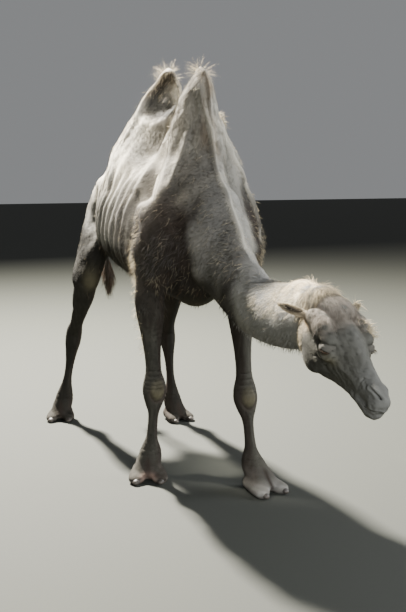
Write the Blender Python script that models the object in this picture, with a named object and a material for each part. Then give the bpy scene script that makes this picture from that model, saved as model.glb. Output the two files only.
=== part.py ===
"""A thin, shed-out Bactrian camel at life size, standing with its neck stretched forward and low.

The body is modelled whole, as tapered limbs carried along the bones, fused into one skin and smoothed.
Thin saw cuts then part it into the pieces a person would name. Eyes and toenails are separate solids.
Metres, +Z up; +X is the animal's left and -Y is forwards. The origin is on the ground under the middle of
the bounding box.
"""

import math

import bmesh
import bpy
import numpy as np
from mathutils import Matrix, Vector

# Driving dimensions. Heights are above the ground, and Y is measured back from the middle of the fore feet.
BACK_HEIGHT = 1.71  # spine between the humps
HUMP_HEIGHT = 2.125  # tip of the front hump, hair included
STERNUM_HEIGHT = 0.92  # chest pad between the fore legs
TRUNK_FRONT, TRUNK_BACK = -0.33, 1.56  # breast and buttocks
BARREL_HALF_WIDTH = 0.287  # at the widest rib
ELBOW_HEIGHT, CARPUS_HEIGHT, FORE_FETLOCK_HEIGHT = 0.98, 0.47, 0.150
STIFLE_HEIGHT, HOCK_HEIGHT, HIND_FETLOCK_HEIGHT = 0.93, 0.555, 0.155
FOOT_CORE = 0.05  # where the leg ends inside the foot
TOE_SPLAY = 9  # degrees between each toe and the foot's middle line
EYE_RADIUS = 0.0215
NAIL_RADII = (0.021, 0.019, 0.014)  # along, across and through a toenail
SAW_KERF = 0.0006  # width of the cuts that part the body
FORE_LEG_CUT, HIND_LEG_CUT, FOOT_CUT = 0.900, 0.965, 0.118  # heights of the cuts above knee and foot
SKIN_VOXEL = 0.007  # grid on which the limbs are fused
SKIN_TRIANGLES = 5250
SOCKET_GAP = 0.0004  # clearance round the eyes and under the toenails
RING_POINTS = 28

LEFT, RIGHT = 1, -1
SIDES = {"left": LEFT, "right": RIGHT}


# ---------------------------------------------------------------- lofted forms


def smooth_rows(rows, count):
    """Rows of numbers read at count places along a cubic curve through all of them."""
    rows = np.asarray(rows, float)
    step = np.linalg.norm(np.diff(rows[:, :3], axis=0), axis=1)
    at = np.concatenate([[0.0], np.cumsum(np.maximum(step, 1e-6))])
    slope = np.gradient(rows, at, axis=0)
    want = np.linspace(0.0, at[-1], count)
    low = np.clip(np.searchsorted(at, want, side="right") - 1, 0, len(at) - 2)
    gap = (at[low + 1] - at[low])[:, None]
    t = ((want - at[low]) / gap[:, 0])[:, None]
    return (
        (2 * t**3 - 3 * t**2 + 1) * rows[low]
        + (t**3 - 2 * t**2 + t) * gap * slope[low]
        + (3 * t**2 - 2 * t**3) * rows[low + 1]
        + (t**3 - t**2) * gap * slope[low + 1]
    )


def mesh_of_rings(name, rings):
    """A closed mesh from rings of points, its ends filled."""
    rings = np.asarray(rings)
    count, around = rings.shape[:2]
    ring, spoke = np.meshgrid(np.arange(count - 1), np.arange(around), indexing="ij")
    after = (spoke + 1) % around
    here, ahead = ring * around, (ring + 1) * around
    quads = np.stack([here + spoke, here + after, ahead + after, ahead + spoke], -1)
    mesh = bpy.data.meshes.new(name)
    ends = [list(range(around))[::-1], list(range((count - 1) * around, count * around))]
    mesh.from_pydata(rings.reshape(-1, 3).tolist(), [], quads.reshape(-1, 4).tolist() + ends)
    mesh.validate()
    shape = bmesh.new()
    shape.from_mesh(mesh)
    bmesh.ops.recalc_face_normals(shape, faces=shape.faces)
    shape.to_mesh(mesh)
    shape.free()
    return mesh


def limb(name, stations, side_axis=(1, 0, 0), taper=0.0, rings=26):
    """A limb through stations of (x, y, z, half width, reach one way, reach the other way).

    The half width lies along side_axis. The two reaches lie across the path and that axis: for a path that
    runs forwards they are up and down, and for one that runs down they are forwards and backwards. The taper
    narrows the section towards its first reach, as a roof narrows to its ridge.
    """
    rows = smooth_rows(stations, rings)
    path = rows[:, :3]
    run = np.gradient(path, axis=0)
    run /= np.linalg.norm(run, axis=1)[:, None]
    side = np.asarray(side_axis, float) - run * (run @ np.asarray(side_axis, float))[:, None]
    side /= np.linalg.norm(side, axis=1)[:, None]
    up = np.cross(run, side)
    turn = np.linspace(0, 2 * math.pi, RING_POINTS, endpoint=False)
    across = np.sin(turn) * (1 - taper * np.maximum(np.cos(turn), 0) ** 2)
    reach = np.where(np.cos(turn) > 0, rows[:, 4:5], rows[:, 5:6]) * np.cos(turn)
    sideways = side[:, None] * (rows[:, 3:4] * across)[..., None]
    return mesh_of_rings(name, path[:, None] + sideways + up[:, None] * reach[..., None])


def ball(name, centre, radii, turn=None, around=24, up=14):
    """An ellipsoid."""
    mesh = bpy.data.meshes.new(name)
    shape = bmesh.new()
    bmesh.ops.create_uvsphere(shape, u_segments=around, v_segments=up, radius=1.0)
    shape.to_mesh(mesh)
    shape.free()
    place = Matrix.Translation(centre) @ (turn or Matrix.Identity(4)) @ Matrix.Diagonal((*radii, 1.0))
    mesh.transform(place)
    return mesh


# ---------------------------------------------------------------- trunk, humps and tail


def trunk():
    """Breast, deep chest, barrel and sloping rump. Columns: y, top, widest height, bottom, half width."""
    sections = (
        (TRUNK_FRONT, 1.31, 1.19, 1.07, 0.060),
        (-0.26, 1.40, 1.19, 1.01, 0.130),
        (-0.14, 1.55, 1.21, 0.980, 0.180),
        (0.06, BACK_HEIGHT - 0.03, 1.23, STERNUM_HEIGHT, 0.232),
        (0.34, BACK_HEIGHT, 1.24, STERNUM_HEIGHT + 0.01, 0.265),
        (0.62, BACK_HEIGHT, 1.26, 0.955, BARREL_HALF_WIDTH),
        (0.88, BACK_HEIGHT + 0.01, 1.29, 1.005, BARREL_HALF_WIDTH - 0.006),
        (1.08, BACK_HEIGHT - 0.01, 1.33, 1.08, 0.244),
        (1.27, 1.640, 1.36, 1.15, 0.205),
        (1.43, 1.540, 1.35, 1.18, 0.150),
        (TRUNK_BACK, 1.41, 1.32, 1.22, 0.070),
    )
    rows = [(0, y, wide, half, top - wide, wide - bottom) for y, top, wide, bottom, half in sections]
    # The path runs backwards, so the first reach would point down: the side axis is turned to keep it up.
    return limb("trunk", rows, side_axis=(-1, 0, 0), taper=0.20, rings=40)


def hump(name, levels):
    """A slack, tent-like hump. Its levels: x, y, depth below the tip, half width, reach forwards, back."""
    rows = [(x, y, HUMP_HEIGHT - below, half, fore, aft) for x, y, below, half, fore, aft in levels]
    return limb(name, rows, side_axis=(-1, 0, 0), rings=34)


def humps():
    """Two tall, thin humps: the front one upright, the rear one slumped forwards and to the left."""
    front = (
        (0.000, 0.050, 0.000, 0.014, 0.028, 0.032),
        (0.000, 0.055, 0.035, 0.040, 0.074, 0.090),
        (0.000, 0.070, 0.095, 0.056, 0.108, 0.145),
        (0.000, 0.095, 0.175, 0.076, 0.150, 0.180),
        (0.004, 0.120, 0.265, 0.104, 0.210, 0.215),
        (0.022, 0.150, 0.365, 0.150, 0.265, 0.260),
        (0.035, 0.170, 0.465, 0.192, 0.320, 0.310),
        (0.032, 0.180, 0.565, 0.224, 0.350, 0.340),
        (0.015, 0.190, 0.705, 0.228, 0.330, 0.330),
        (0.000, 0.200, 0.825, 0.150, 0.240, 0.240),
    )
    rear = (
        (0.052, 0.575, -0.035, 0.016, 0.036, 0.040),
        (0.052, 0.590, 0.000, 0.048, 0.090, 0.105),
        (0.047, 0.622, 0.075, 0.068, 0.134, 0.175),
        (0.030, 0.660, 0.165, 0.088, 0.175, 0.235),
        (0.015, 0.700, 0.255, 0.102, 0.210, 0.258),
        (0.005, 0.745, 0.345, 0.136, 0.245, 0.298),
        (0.000, 0.775, 0.435, 0.188, 0.275, 0.345),
        (0.000, 0.800, 0.535, 0.228, 0.300, 0.370),
        (0.000, 0.820, 0.665, 0.235, 0.290, 0.350),
        (0.000, 0.830, 0.785, 0.150, 0.200, 0.240),
    )
    return [hump("front_hump", front), hump("rear_hump", rear)]


def tail():
    """A short, thin tail that hangs against the buttocks and ends in a tuft."""
    rows = (
        (0.0, 1.44, 1.42, 0.050, 0.045, 0.045),
        (0.0, 1.56, 1.38, 0.036, 0.034, 0.034),
        (0.004, 1.622, 1.26, 0.026, 0.026, 0.026),
        (0.012, 1.635, 1.12, 0.022, 0.022, 0.022),
        (0.020, 1.622, 1.00, 0.026, 0.028, 0.026),
        (0.024, 1.607, 0.91, 0.030, 0.032, 0.030),
        (0.026, 1.600, 0.85, 0.010, 0.010, 0.010),
    )
    return limb("tail", rows, rings=30)


# ---------------------------------------------------------------- neck and head

NECK_STATIONS = (
    (0.000, 0.02, 1.410, 0.130, 0.260, 0.280),
    (0.000, -0.18, 1.200, 0.124, 0.235, 0.205),
    (0.000, -0.37, 1.070, 0.110, 0.188, 0.165),
    (-0.002, -0.56, 1.000, 0.099, 0.158, 0.148),
    (-0.004, -0.76, 0.985, 0.092, 0.142, 0.140),
    (-0.008, -0.91, 1.003, 0.090, 0.140, 0.142),
    (-0.012, -1.03, 1.028, 0.088, 0.138, 0.150),
    (-0.012, -1.14, 1.030, 0.066, 0.095, 0.115),
)


def neck():
    """From deep in the chest, down and forwards, and level behind the head."""
    return limb("neck", NECK_STATIONS, side_axis=(1, 0, 0), taper=0.25, rings=40)


HEAD_PLACE = Vector((-0.012, -1.112, 1.045))  # back of the skull
HEAD_YAW, HEAD_PITCH, HEAD_ROLL = math.radians(-1), math.radians(15.2), math.radians(-4.2)
EYE_CENTRE = Vector((0.225, 0.091, -0.054))


def head_matrix():
    """Turns the skull's own frame (x to the muzzle, y to the left, z up) to its place on the neck."""
    facing = Matrix(((0, 1, 0), (-1, 0, 0), (0, 0, 1))).to_4x4()
    yaw = Matrix.Rotation(HEAD_YAW, 4, "Z")
    pitch = Matrix.Rotation(HEAD_PITCH, 4, "Y")
    roll = Matrix.Rotation(HEAD_ROLL, 4, "X")
    return Matrix.Translation(HEAD_PLACE) @ yaw @ facing @ pitch @ roll


def skull_and_muzzle():
    """Crown, cheeks and the long muzzle. Columns: x, half width, top, widest height, bottom."""
    sections = (
        (-0.060, 0.060, 0.035, -0.050, -0.120),
        (0.000, 0.082, 0.062, -0.060, -0.170),
        (0.080, 0.094, 0.070, -0.075, -0.208),
        (0.150, 0.096, 0.060, -0.065, -0.208),
        (0.215, 0.086, 0.036, -0.065, -0.196),
        (0.275, 0.067, 0.004, -0.080, -0.184),
        (0.335, 0.050, -0.026, -0.095, -0.176),
        (0.400, 0.040, -0.052, -0.110, -0.172),
        (0.450, 0.036, -0.074, -0.122, -0.170),
        (0.490, 0.034, -0.094, -0.130, -0.172),
        (0.512, 0.026, -0.112, -0.140, -0.168),
        (0.522, 0.011, -0.126, -0.144, -0.158),
    )
    rows = [(x, 0, wide, half, top - wide, wide - bottom) for x, half, top, wide, bottom in sections]
    return limb("skull", rows, side_axis=(0, 1, 0), taper=0.18, rings=44)


def lower_jaw():
    """The jaw's edge from its angle under the ear to the loose lower lip."""
    rows = (
        (0.060, 0, -0.160, 0.050, 0.050, 0.052),
        (0.120, 0, -0.170, 0.050, 0.050, 0.042),
        (0.230, 0, -0.165, 0.040, 0.036, 0.030),
        (0.330, 0, -0.166, 0.034, 0.028, 0.026),
        (0.405, 0, -0.175, 0.035, 0.024, 0.028),
        (0.450, 0, -0.182, 0.034, 0.018, 0.030),
        (0.482, 0, -0.180, 0.028, 0.018, 0.026),
        (0.506, 0, -0.174, 0.012, 0.008, 0.012),
    )
    return limb("lower_jaw", rows, side_axis=(0, 1, 0), rings=30)


def ear(side):
    """A small round-tipped ear held out sideways and a little back."""
    root = Vector((0.030, side * 0.080, 0.000))
    tip = Vector((-0.022, side * 0.196, 0.030))
    rows = []
    sections = (
        (0, 0.022, 0.020),
        (0.25, 0.027, 0.017),
        (0.6, 0.025, 0.012),
        (0.88, 0.015, 0.009),
        (1, 0.004, 0.004),
    )
    for share, width, thick in sections:
        rows.append((*root.lerp(tip, share), width, thick, thick))
    return limb(f"ear_{side}", rows, side_axis=(0.75, 0, -0.65), rings=18)


def head_forms():
    """All the masses of the head, in place."""
    forms = [skull_and_muzzle(), lower_jaw()]
    forms.append(ball("crown", (0.000, 0, 0.060), (0.075, 0.064, 0.052)))
    forms.append(ball("forelock", (0.085, 0.006, 0.056), (0.085, 0.072, 0.046)))
    for side in SIDES.values():
        forms.append(ear(side))
        forms.append(ball("brow", (0.196, side * 0.078, -0.014), (0.056, 0.040, 0.030)))
        forms.append(ball("cheek", (0.105, side * 0.050, -0.125), (0.085, 0.044, 0.080)))
        forms.append(ball("orbit_floor", (0.212, side * 0.076, -0.066), (0.056, 0.036, 0.034)))
        forms.append(ball("temple", (0.120, side * 0.078, 0.014), (0.090, 0.040, 0.046)))
        forms.append(ball("nostril_wing", (0.445, side * 0.015, -0.098), (0.050, 0.020, 0.021)))
        forms.append(ball("upper_lip", (0.474, side * 0.016, -0.142), (0.040, 0.022, 0.034)))
    turn = head_matrix()
    for form in forms:
        form.transform(turn)
    return forms


# ---------------------------------------------------------------- legs

# Where each joint of each leg lies: (x, y). Heights are the driving dimensions above.
FORE_JOINTS = {
    "left": {
        "elbow": (0.225, 0.075),
        "carpus": (0.162, -0.130),
        "fetlock": (0.178, -0.172),
        "foot": (0.204, -0.232),
    },
    "right": {
        "elbow": (-0.245, 0.150),
        "carpus": (-0.205, 0.185),
        "fetlock": (-0.224, 0.198),
        "foot": (-0.248, 0.180),
    },
}
HIND_JOINTS = {
    "left": {
        "stifle": (0.240, 0.99),
        "hock": (0.297, 1.250),
        "fetlock": (0.308, 1.208),
        "foot": (0.326, 1.182),
    },
    "right": {
        "stifle": (-0.275, 1.13),
        "hock": (-0.262, 1.460),
        "fetlock": (-0.315, 1.510),
        "foot": (-0.345, 1.500),
    },
}
FORE_HEIGHTS = (ELBOW_HEIGHT, CARPUS_HEIGHT, FORE_FETLOCK_HEIGHT, FOOT_CORE)
HIND_HEIGHTS = (STIFLE_HEIGHT, HOCK_HEIGHT, HIND_FETLOCK_HEIGHT, FOOT_CORE)
# How far each foot turns to the animal's left, in degrees.
TOE_OUT = {"fore_left": 12, "fore_right": -20, "hind_left": 8, "hind_right": -22}
FORE_FOOT = {"length": 0.240, "width": 0.212}
HIND_FOOT = {"length": 0.215, "width": 0.186}


def bone(start, end, shares):
    """Stations between two joints, from rows of (share of the way, half width, reach forwards, backwards)."""
    start, end = Vector(start), Vector(end)
    return [(*start.lerp(end, share), *reach) for share, *reach in shares]


def leg_down(name, stations):
    """A limb whose path runs down, with its first reach forwards."""
    return limb(name, stations, side_axis=(-1, 0, 0), rings=44)


def joint_places(joints, heights):
    """The joints of one leg as points, by name."""
    return {name: (*at, height) for (name, at), height in zip(joints.items(), heights)}


def fore_leg(side):
    """Shoulder blade and upper arm, forearm, knee and cannon."""
    place = joint_places(FORE_JOINTS[side], FORE_HEIGHTS)
    out = SIDES[side]
    shift = place["elbow"][1] - 0.11
    shoulder = (
        (out * 0.060, 0.22 + shift, 1.640, 0.020, 0.050, 0.060),
        (out * 0.100, 0.20 + shift, 1.580, 0.060, 0.120, 0.130),
        (out * 0.155, 0.16 + shift, 1.480, 0.085, 0.165, 0.170),
        (out * 0.198, 0.12 + shift, 1.350, 0.102, 0.195, 0.195),
        (out * 0.220, 0.10 + shift, 1.215, 0.106, 0.205, 0.200),
        (out * 0.228, 0.11 + shift, 1.090, 0.094, 0.160, 0.170),
        (out * 0.228, 0.11 + shift, 0.970, 0.066, 0.085, 0.095),
        (out * 0.225, 0.11 + shift, 0.890, 0.040, 0.045, 0.045),
        (out * 0.225, 0.11 + shift, 0.860, 0.015, 0.015, 0.015),
    )
    point = ball("shoulder_point", (out * 0.160, shift - 0.050, 1.240), (0.080, 0.110, 0.160))
    forearm = bone(place["elbow"], place["carpus"], (
        (-0.15, 0.070, 0.080, 0.090),
        (0.05, 0.082, 0.080, 0.092),
        (0.25, 0.072, 0.066, 0.074),
        (0.45, 0.055, 0.054, 0.055),
        (0.65, 0.044, 0.047, 0.046),
        (0.82, 0.045, 0.050, 0.046),
        (0.94, 0.062, 0.062, 0.052),
    ))
    cannon = bone(place["carpus"], place["fetlock"], (
        (0.06, 0.064, 0.066, 0.054),
        (0.20, 0.052, 0.052, 0.048),
        (0.36, 0.034, 0.035, 0.036),
        (0.62, 0.029, 0.031, 0.034),
        (0.82, 0.034, 0.036, 0.040),
        (1.00, 0.058, 0.050, 0.054),
    ))
    pastern = [(*Vector(place["foot"]), 0.066, 0.062, 0.060)]
    blade = limb("shoulder", shoulder, side_axis=(-1, 0, 0), rings=30)
    return [blade, point, leg_down("fore_leg", forearm + cannon + pastern)]


def hind_leg(side):
    """Thigh and rump muscle, gaskin, hock and cannon."""
    place = joint_places(HIND_JOINTS[side], HIND_HEIGHTS)
    out = SIDES[side]
    knee = Vector(place["stifle"])
    thigh = (
        (out * 0.050, 1.24, 1.570, 0.020, 0.050, 0.050),
        (out * 0.070, 1.23, 1.520, 0.056, 0.130, 0.120),
        (out * 0.102, 1.23, 1.430, 0.078, 0.185, 0.170),
        (out * 0.138, (1.22 + knee.y) / 2 + 0.06, 1.300, 0.090, 0.210, 0.190),
        (out * 0.198, knee.y + 0.080, 1.120, 0.094, 0.190, 0.200),
        (knee.x - out * 0.022, knee.y + 0.050, 0.990, 0.084, 0.145, 0.170),
        (knee.x, knee.y + 0.060, 0.890, 0.060, 0.090, 0.110),
        (knee.x, knee.y + 0.070, 0.850, 0.020, 0.030, 0.040),
    )
    hip = ball("hip", (out * 0.155, 1.095, 1.475), (0.055, 0.110, 0.090))
    gaskin = bone(place["stifle"], place["hock"], (
        (-0.05, 0.070, 0.080, 0.085),
        (0.18, 0.068, 0.072, 0.090),
        (0.48, 0.053, 0.052, 0.066),
        (0.80, 0.042, 0.044, 0.048),
    ))
    cannon = bone(place["hock"], place["fetlock"], (
        (-0.04, 0.052, 0.054, 0.062),
        (0.10, 0.052, 0.052, 0.056),
        (0.28, 0.040, 0.040, 0.042),
        (0.50, 0.030, 0.031, 0.034),
        (0.72, 0.030, 0.031, 0.034),
        (0.86, 0.040, 0.038, 0.042),
        (1.00, 0.056, 0.050, 0.052),
    ))
    pastern = [(*Vector(place["foot"]), 0.060, 0.058, 0.056)]
    haunch = limb("thigh", thigh, side_axis=(-1, 0, 0), rings=30)
    return [haunch, hip, leg_down("hind_leg", gaskin + cannon + pastern)]


def foot_matrix(leg):
    """A foot's own frame (x to the toes, y to the animal's left, z up) at its place on the ground."""
    which, side = leg.split("_")
    x, y = (FORE_JOINTS if which == "fore" else HIND_JOINTS)[side]["foot"]
    return Matrix.Translation((x, y, 0)) @ Matrix.Rotation(math.radians(TOE_OUT[leg] - 90), 4, "Z")


def toes(leg):
    """The broad cushion of the foot: two toes that spread apart, on one heel."""
    size = FORE_FOOT if leg.startswith("fore") else HIND_FOOT
    length, width = size["length"], size["width"]
    instep = (
        (-0.14 * length, 0, 0.098, 0.29 * width, 0.045, 0.05),
        (0.02 * length, 0, 0.078, 0.32 * width, 0.036, 0.05),
        (0.18 * length, 0, 0.052, 0.31 * width, 0.026, 0.04),
        (0.34 * length, 0, 0.030, 0.20 * width, 0.014, 0.02),
    )
    forms = [
        ball("heel", (-0.10 * length, 0, 0.040), (0.34 * length, 0.40 * width, 0.054)),
        limb("instep", instep, side_axis=(0, 1, 0), rings=16),
    ]
    for side in SIDES.values():
        splay = Matrix.Rotation(math.radians(side * TOE_SPLAY), 4, "Z")
        rows = (
            (-0.20 * length, side * 0.17 * width, 0.036, 0.18 * width, 0.036, 0.042),
            (0.05 * length, side * 0.205 * width, 0.036, 0.215 * width, 0.038, 0.044),
            (0.28 * length, side * 0.225 * width, 0.030, 0.215 * width, 0.026, 0.038),
            (0.44 * length, side * 0.220 * width, 0.024, 0.175 * width, 0.018, 0.032),
            (0.52 * length, side * 0.205 * width, 0.018, 0.080 * width, 0.010, 0.020),
        )
        toe = limb("toe", rows, side_axis=(0, 1, 0), rings=20)
        toe.transform(splay)
        forms.append(toe)
    turn = foot_matrix(leg)
    for form in forms:
        form.transform(turn)
    return forms


LEGS = [f"{which}_{side}" for which in ("fore", "hind") for side in SIDES]


# ---------------------------------------------------------------- fusing

# The hollow in the rear hump's right side: its middle and reach along y and z, and its depth.
CAVE_PLACE, CAVE_REACH, CAVE_DEPTH = (0.585, 1.985), (0.185, 0.150), 0.062
# Half width on the right at the foot of the front hump, by height, at y = 0.05; it narrows backwards.
LEAN_HEIGHTS = (1.40, 1.433, 1.461, 1.533, 1.668, 1.764, 1.84, 1.90)
LEAN_WIDTHS = (0.350, 0.285, 0.252, 0.232, 0.188, 0.167, 0.154, 0.140)


def new_object(name, mesh):
    """An object for a mesh, linked to the scene."""
    made = bpy.data.objects.new(name, mesh)
    bpy.context.scene.collection.objects.link(made)
    return made


def settle(thing):
    """Applies an object's modifiers."""
    graph = bpy.context.evaluated_depsgraph_get()
    mesh = bpy.data.meshes.new_from_object(thing.evaluated_get(graph))
    thing.modifiers.clear()
    thing.data = mesh


def joined(name, meshes):
    """One object that holds all the meshes."""
    shape = bmesh.new()
    for mesh in meshes:
        shape.from_mesh(mesh)
    whole = bpy.data.meshes.new(name)
    shape.to_mesh(whole)
    shape.free()
    return new_object(name, whole)


def broad_masses(body):
    """A vertex group over the trunk, humps and neck root, whose forms melt into each other."""
    at = np.empty(3 * len(body.data.vertices), np.float32)
    body.data.vertices.foreach_get("co", at)
    at = at.reshape(-1, 3)
    above = np.clip((at[:, 2] - 0.92) / 0.12, 0, 1)
    behind = np.clip((at[:, 1] + 0.72) / 0.20, 0, 1)
    ahead = np.clip((TRUNK_BACK - at[:, 1]) / 0.08, 0, 1)
    weight = above * behind * ahead
    group = body.vertex_groups.new(name="broad")
    for share in range(1, 11):
        here = np.flatnonzero(np.round(weight * 10) == share)
        group.add(here.tolist(), share / 10, "REPLACE")
    return group.name


def eased(value, low, high):
    """0 below low, 1 above high and an eased step between."""
    t = np.clip((value - low) / (high - low), 0, 1)
    return t * t * (3 - 2 * t)


def slacken(body):
    """Where the fat is spent: the rear hump's right side caves in, and so does the right foot of the front hump."""
    at = np.empty(3 * len(body.data.vertices), np.float32)
    body.data.vertices.foreach_get("co", at)
    at = at.reshape(-1, 3)
    x, y, z = at.T.astype(float)
    spread = np.sqrt(((y - CAVE_PLACE[0]) / CAVE_REACH[0]) ** 2 + ((z - CAVE_PLACE[1]) / CAVE_REACH[1]) ** 2)
    x += CAVE_DEPTH * eased(1 - spread, 0, 0.6) * eased(0.075 - x, 0, 0.06)
    width = np.interp(z, LEAN_HEIGHTS, LEAN_WIDTHS) - 0.41 * (y - 0.05)
    place = eased(z, 1.40, 1.46) * eased(0.42 - y, 0, 0.14) * eased(y, -0.30, -0.20)
    x += 0.85 * np.maximum(-x - width, 0) * place
    body.data.vertices.foreach_set("co", np.stack([x, y, z], -1).astype(np.float32).ravel())
    body.data.update()


def fused_body():
    """Every mass of the body joined, remeshed into one skin, smoothed and thinned."""
    meshes = [trunk(), *humps(), neck(), tail(), *head_forms()]
    for side in SIDES:
        meshes += fore_leg(side) + hind_leg(side)
    for leg in LEGS:
        meshes += toes(leg)
    body = joined("body", meshes)
    fuse = body.modifiers.new("fuse", "REMESH")
    fuse.mode, fuse.voxel_size = "VOXEL", SKIN_VOXEL
    settle(body)
    soften = body.modifiers.new("soften", "SMOOTH")
    soften.factor, soften.iterations = 0.5, 8
    melt = body.modifiers.new("melt", "SMOOTH")
    melt.factor, melt.iterations, melt.vertex_group = 0.9, 120, broad_masses(body)
    settle(body)
    slacken(body)
    thin = body.modifiers.new("thin", "DECIMATE")
    thin.ratio = SKIN_TRIANGLES / sum(len(face.vertices) - 2 for face in body.data.polygons)
    settle(body)
    return body


# ---------------------------------------------------------------- eyes, nails and the saw cuts


def slab(centre, normal, width, height):
    """A saw cut: a thin box across the given normal, its width level and its height square to both."""
    normal = Vector(normal).normalized()
    across = Vector((0, 0, 1)).cross(normal) if abs(normal.z) < 0.9 else Vector((1, 0, 0))
    across.normalize()
    upright = normal.cross(across)
    mesh = bpy.data.meshes.new("slab")
    shape = bmesh.new()
    bmesh.ops.create_cube(shape, size=1.0)
    shape.to_mesh(mesh)
    shape.free()
    turn = Matrix((across, upright, normal)).transposed().to_4x4()
    mesh.transform(Matrix.Translation(centre) @ turn @ Matrix.Diagonal((width, height, SAW_KERF, 1.0)))
    return mesh


def saw_cuts():
    """Every cut that parts the body."""
    head = head_matrix()
    ahead = head.to_3x3() @ Vector((1, 0, 0))
    cuts = [
        slab((0, -0.345, 1.105), (0, -0.83, -0.56), 0.44, 0.50),  # neck from chest
        slab((0, -0.720, 0.985), (0, -1, 0), 0.40, 0.40),  # the neck's two lengths
        slab(head @ Vector((-0.045, 0, -0.060)), ahead, 0.28, 0.44),  # head from neck
        slab((0, 0.45, 1.822), (0, 0, 1), 0.70, 1.50),  # both humps from the back
        slab((0.003, 1.610, 1.296), (0, 0.25, -0.97), 0.10, 0.08),  # tail from rump
    ]
    for side in SIDES.values():
        toward = head.to_3x3() @ Vector((-0.45, side, 0.18))
        cuts.append(slab(head @ Vector((0.022, side * 0.108, 0.006)), toward, 0.11, 0.11))
    for joints, middle in ((FORE_JOINTS, CARPUS_HEIGHT), (HIND_JOINTS, HOCK_HEIGHT)):
        thigh = FORE_LEG_CUT if joints is FORE_JOINTS else HIND_LEG_CUT
        for place in joints.values():
            upper, knee, ankle, _ = place.values()
            cuts.append(slab((*upper, thigh), (0, 0, 1), 0.288, 0.40))
            cuts.append(slab((*knee, middle), (0, 0, 1), 0.172, 0.24))
            cuts.append(slab((*ankle, FOOT_CUT), (0, 0, 1), 0.172, 0.24))
    return cuts


def eyeball(name, side, grow=0.0):
    """One eyeball, or with some growth its socket."""
    centre = head_matrix() @ Vector((EYE_CENTRE.x, side * EYE_CENTRE.y, EYE_CENTRE.z))
    return ball(name, centre, (EYE_RADIUS + grow,) * 3, around=12, up=7)


def toenail(name, leg, side, grow=0.0):
    """A nail on the front of a toe: a blunt wedge let into the toe, clear of the ground."""
    size = FORE_FOOT if leg.startswith("fore") else HIND_FOOT
    length, width = size["length"], size["width"]
    radii = [radius + grow for radius in NAIL_RADII]
    mesh = ball(name, (0, 0, 0), radii, Matrix.Rotation(math.radians(22), 4, "Y"), 8, 5)
    mesh.transform(Matrix.Translation((0.485 * length, side * 0.212 * width, 0.0185)))
    mesh.transform(Matrix.Rotation(math.radians(side * TOE_SPLAY), 4, "Z"))
    mesh.transform(foot_matrix(leg))
    return mesh


def ground_block():
    """Everything under the soles."""
    mesh = bpy.data.meshes.new("ground")
    shape = bmesh.new()
    bmesh.ops.create_cube(shape, size=1.0)
    shape.to_mesh(mesh)
    shape.free()
    mesh.transform(Matrix.Translation((0, 0.5, -0.5)) @ Matrix.Diagonal((2.0, 4.0, 1.0, 1.0)))
    return mesh


def carve(body, tool):
    """Cuts a tool out of a body and removes the tool."""
    cut = body.modifiers.new("cut", "BOOLEAN")
    cut.operation, cut.solver, cut.object = "DIFFERENCE", "EXACT", tool
    settle(body)
    bpy.data.objects.remove(tool)


def loose_parts(mesh):
    """The separate bodies of a mesh, largest first, each as a new mesh."""
    shape = bmesh.new()
    shape.from_mesh(mesh)
    unseen, groups = set(shape.verts), []
    while unseen:
        seed = unseen.pop()
        group, edge = {seed}, [seed]
        while edge:
            for link in edge.pop().link_edges:
                for vertex in link.verts:
                    if vertex in unseen:
                        unseen.remove(vertex)
                        group.add(vertex)
                        edge.append(vertex)
        groups.append(group)
    found = []
    for group in sorted(groups, key=len, reverse=True):
        order = {vertex: place for place, vertex in enumerate(sorted(group, key=lambda vertex: vertex.index))}
        faces = [[order[vertex] for vertex in face.verts] for face in shape.faces if face.verts[0] in group]
        part = bpy.data.meshes.new("part")
        part.from_pydata([vertex.co[:] for vertex in order], [], faces)
        found.append(part)
    shape.free()
    return found


def landmarks():
    """A point inside each piece that the cuts leave, by the piece's name."""
    head = head_matrix()
    marks = {
        "trunk": (0, 0.55, 1.35),
        "hump_front": (0, 0.09, 1.95),
        "hump_rear": (0.03, 0.65, 1.97),
        "neck_lower": (0, -0.55, 1.00),
        "neck_upper": (0, -0.90, 1.00),
        "head": head @ Vector((0.22, 0, -0.08)),
        "tail": (0.01, 1.63, 1.10),
    }
    for side, sign in SIDES.items():
        marks[f"ear_{side}"] = head @ Vector((0.0, sign * 0.150, 0.015))
        for which, joints, top in (("fore", FORE_JOINTS, ELBOW_HEIGHT), ("hind", HIND_JOINTS, STIFLE_HEIGHT)):
            first, middle, fetlock, foot = [Vector((*at, 0)) for at in joints[side].values()]
            knee = CARPUS_HEIGHT if which == "fore" else HOCK_HEIGHT
            marks[f"leg_{which}_{side}_upper"] = (first + middle) / 2 + Vector((0, 0, (top + knee) / 2))
            marks[f"leg_{which}_{side}_lower"] = (middle + fetlock) / 2 + Vector((0, 0, knee / 2 + 0.07))
            marks[f"leg_{which}_{side}_foot"] = foot + Vector((0, 0, 0.04))
    return {name: Vector(mark) for name, mark in marks.items()}


def coat_material(name, colour, roughness):
    """A plain finish in one colour."""
    material = bpy.data.materials.new(name)
    material.use_nodes = True
    surface = material.node_tree.nodes["Principled BSDF"]
    surface.inputs["Base Color"].default_value = (*colour, 1.0)
    surface.inputs["Roughness"].default_value = roughness
    surface.inputs["Metallic"].default_value = 0.0
    material.diffuse_color = (*colour, 1.0)
    return material


PALE, CREAM = (0.56, 0.52, 0.46), (0.62, 0.55, 0.43)
GREY, DARK = (0.36, 0.33, 0.30), (0.17, 0.145, 0.12)
HORN, IRIS = (0.30, 0.26, 0.21), (0.03, 0.02, 0.015)


def colour_of(name):
    """The main colour and the roughness of each piece."""
    if name.startswith("eye"):
        return IRIS, 0.08
    if name.startswith("toenail"):
        return HORN, 0.55
    if name.startswith("hump") or name == "trunk":
        return PALE, 0.9
    if name.startswith("neck") or name.startswith("ear"):
        return CREAM, 0.9
    return (DARK if "upper" in name else GREY), 0.9


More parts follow.
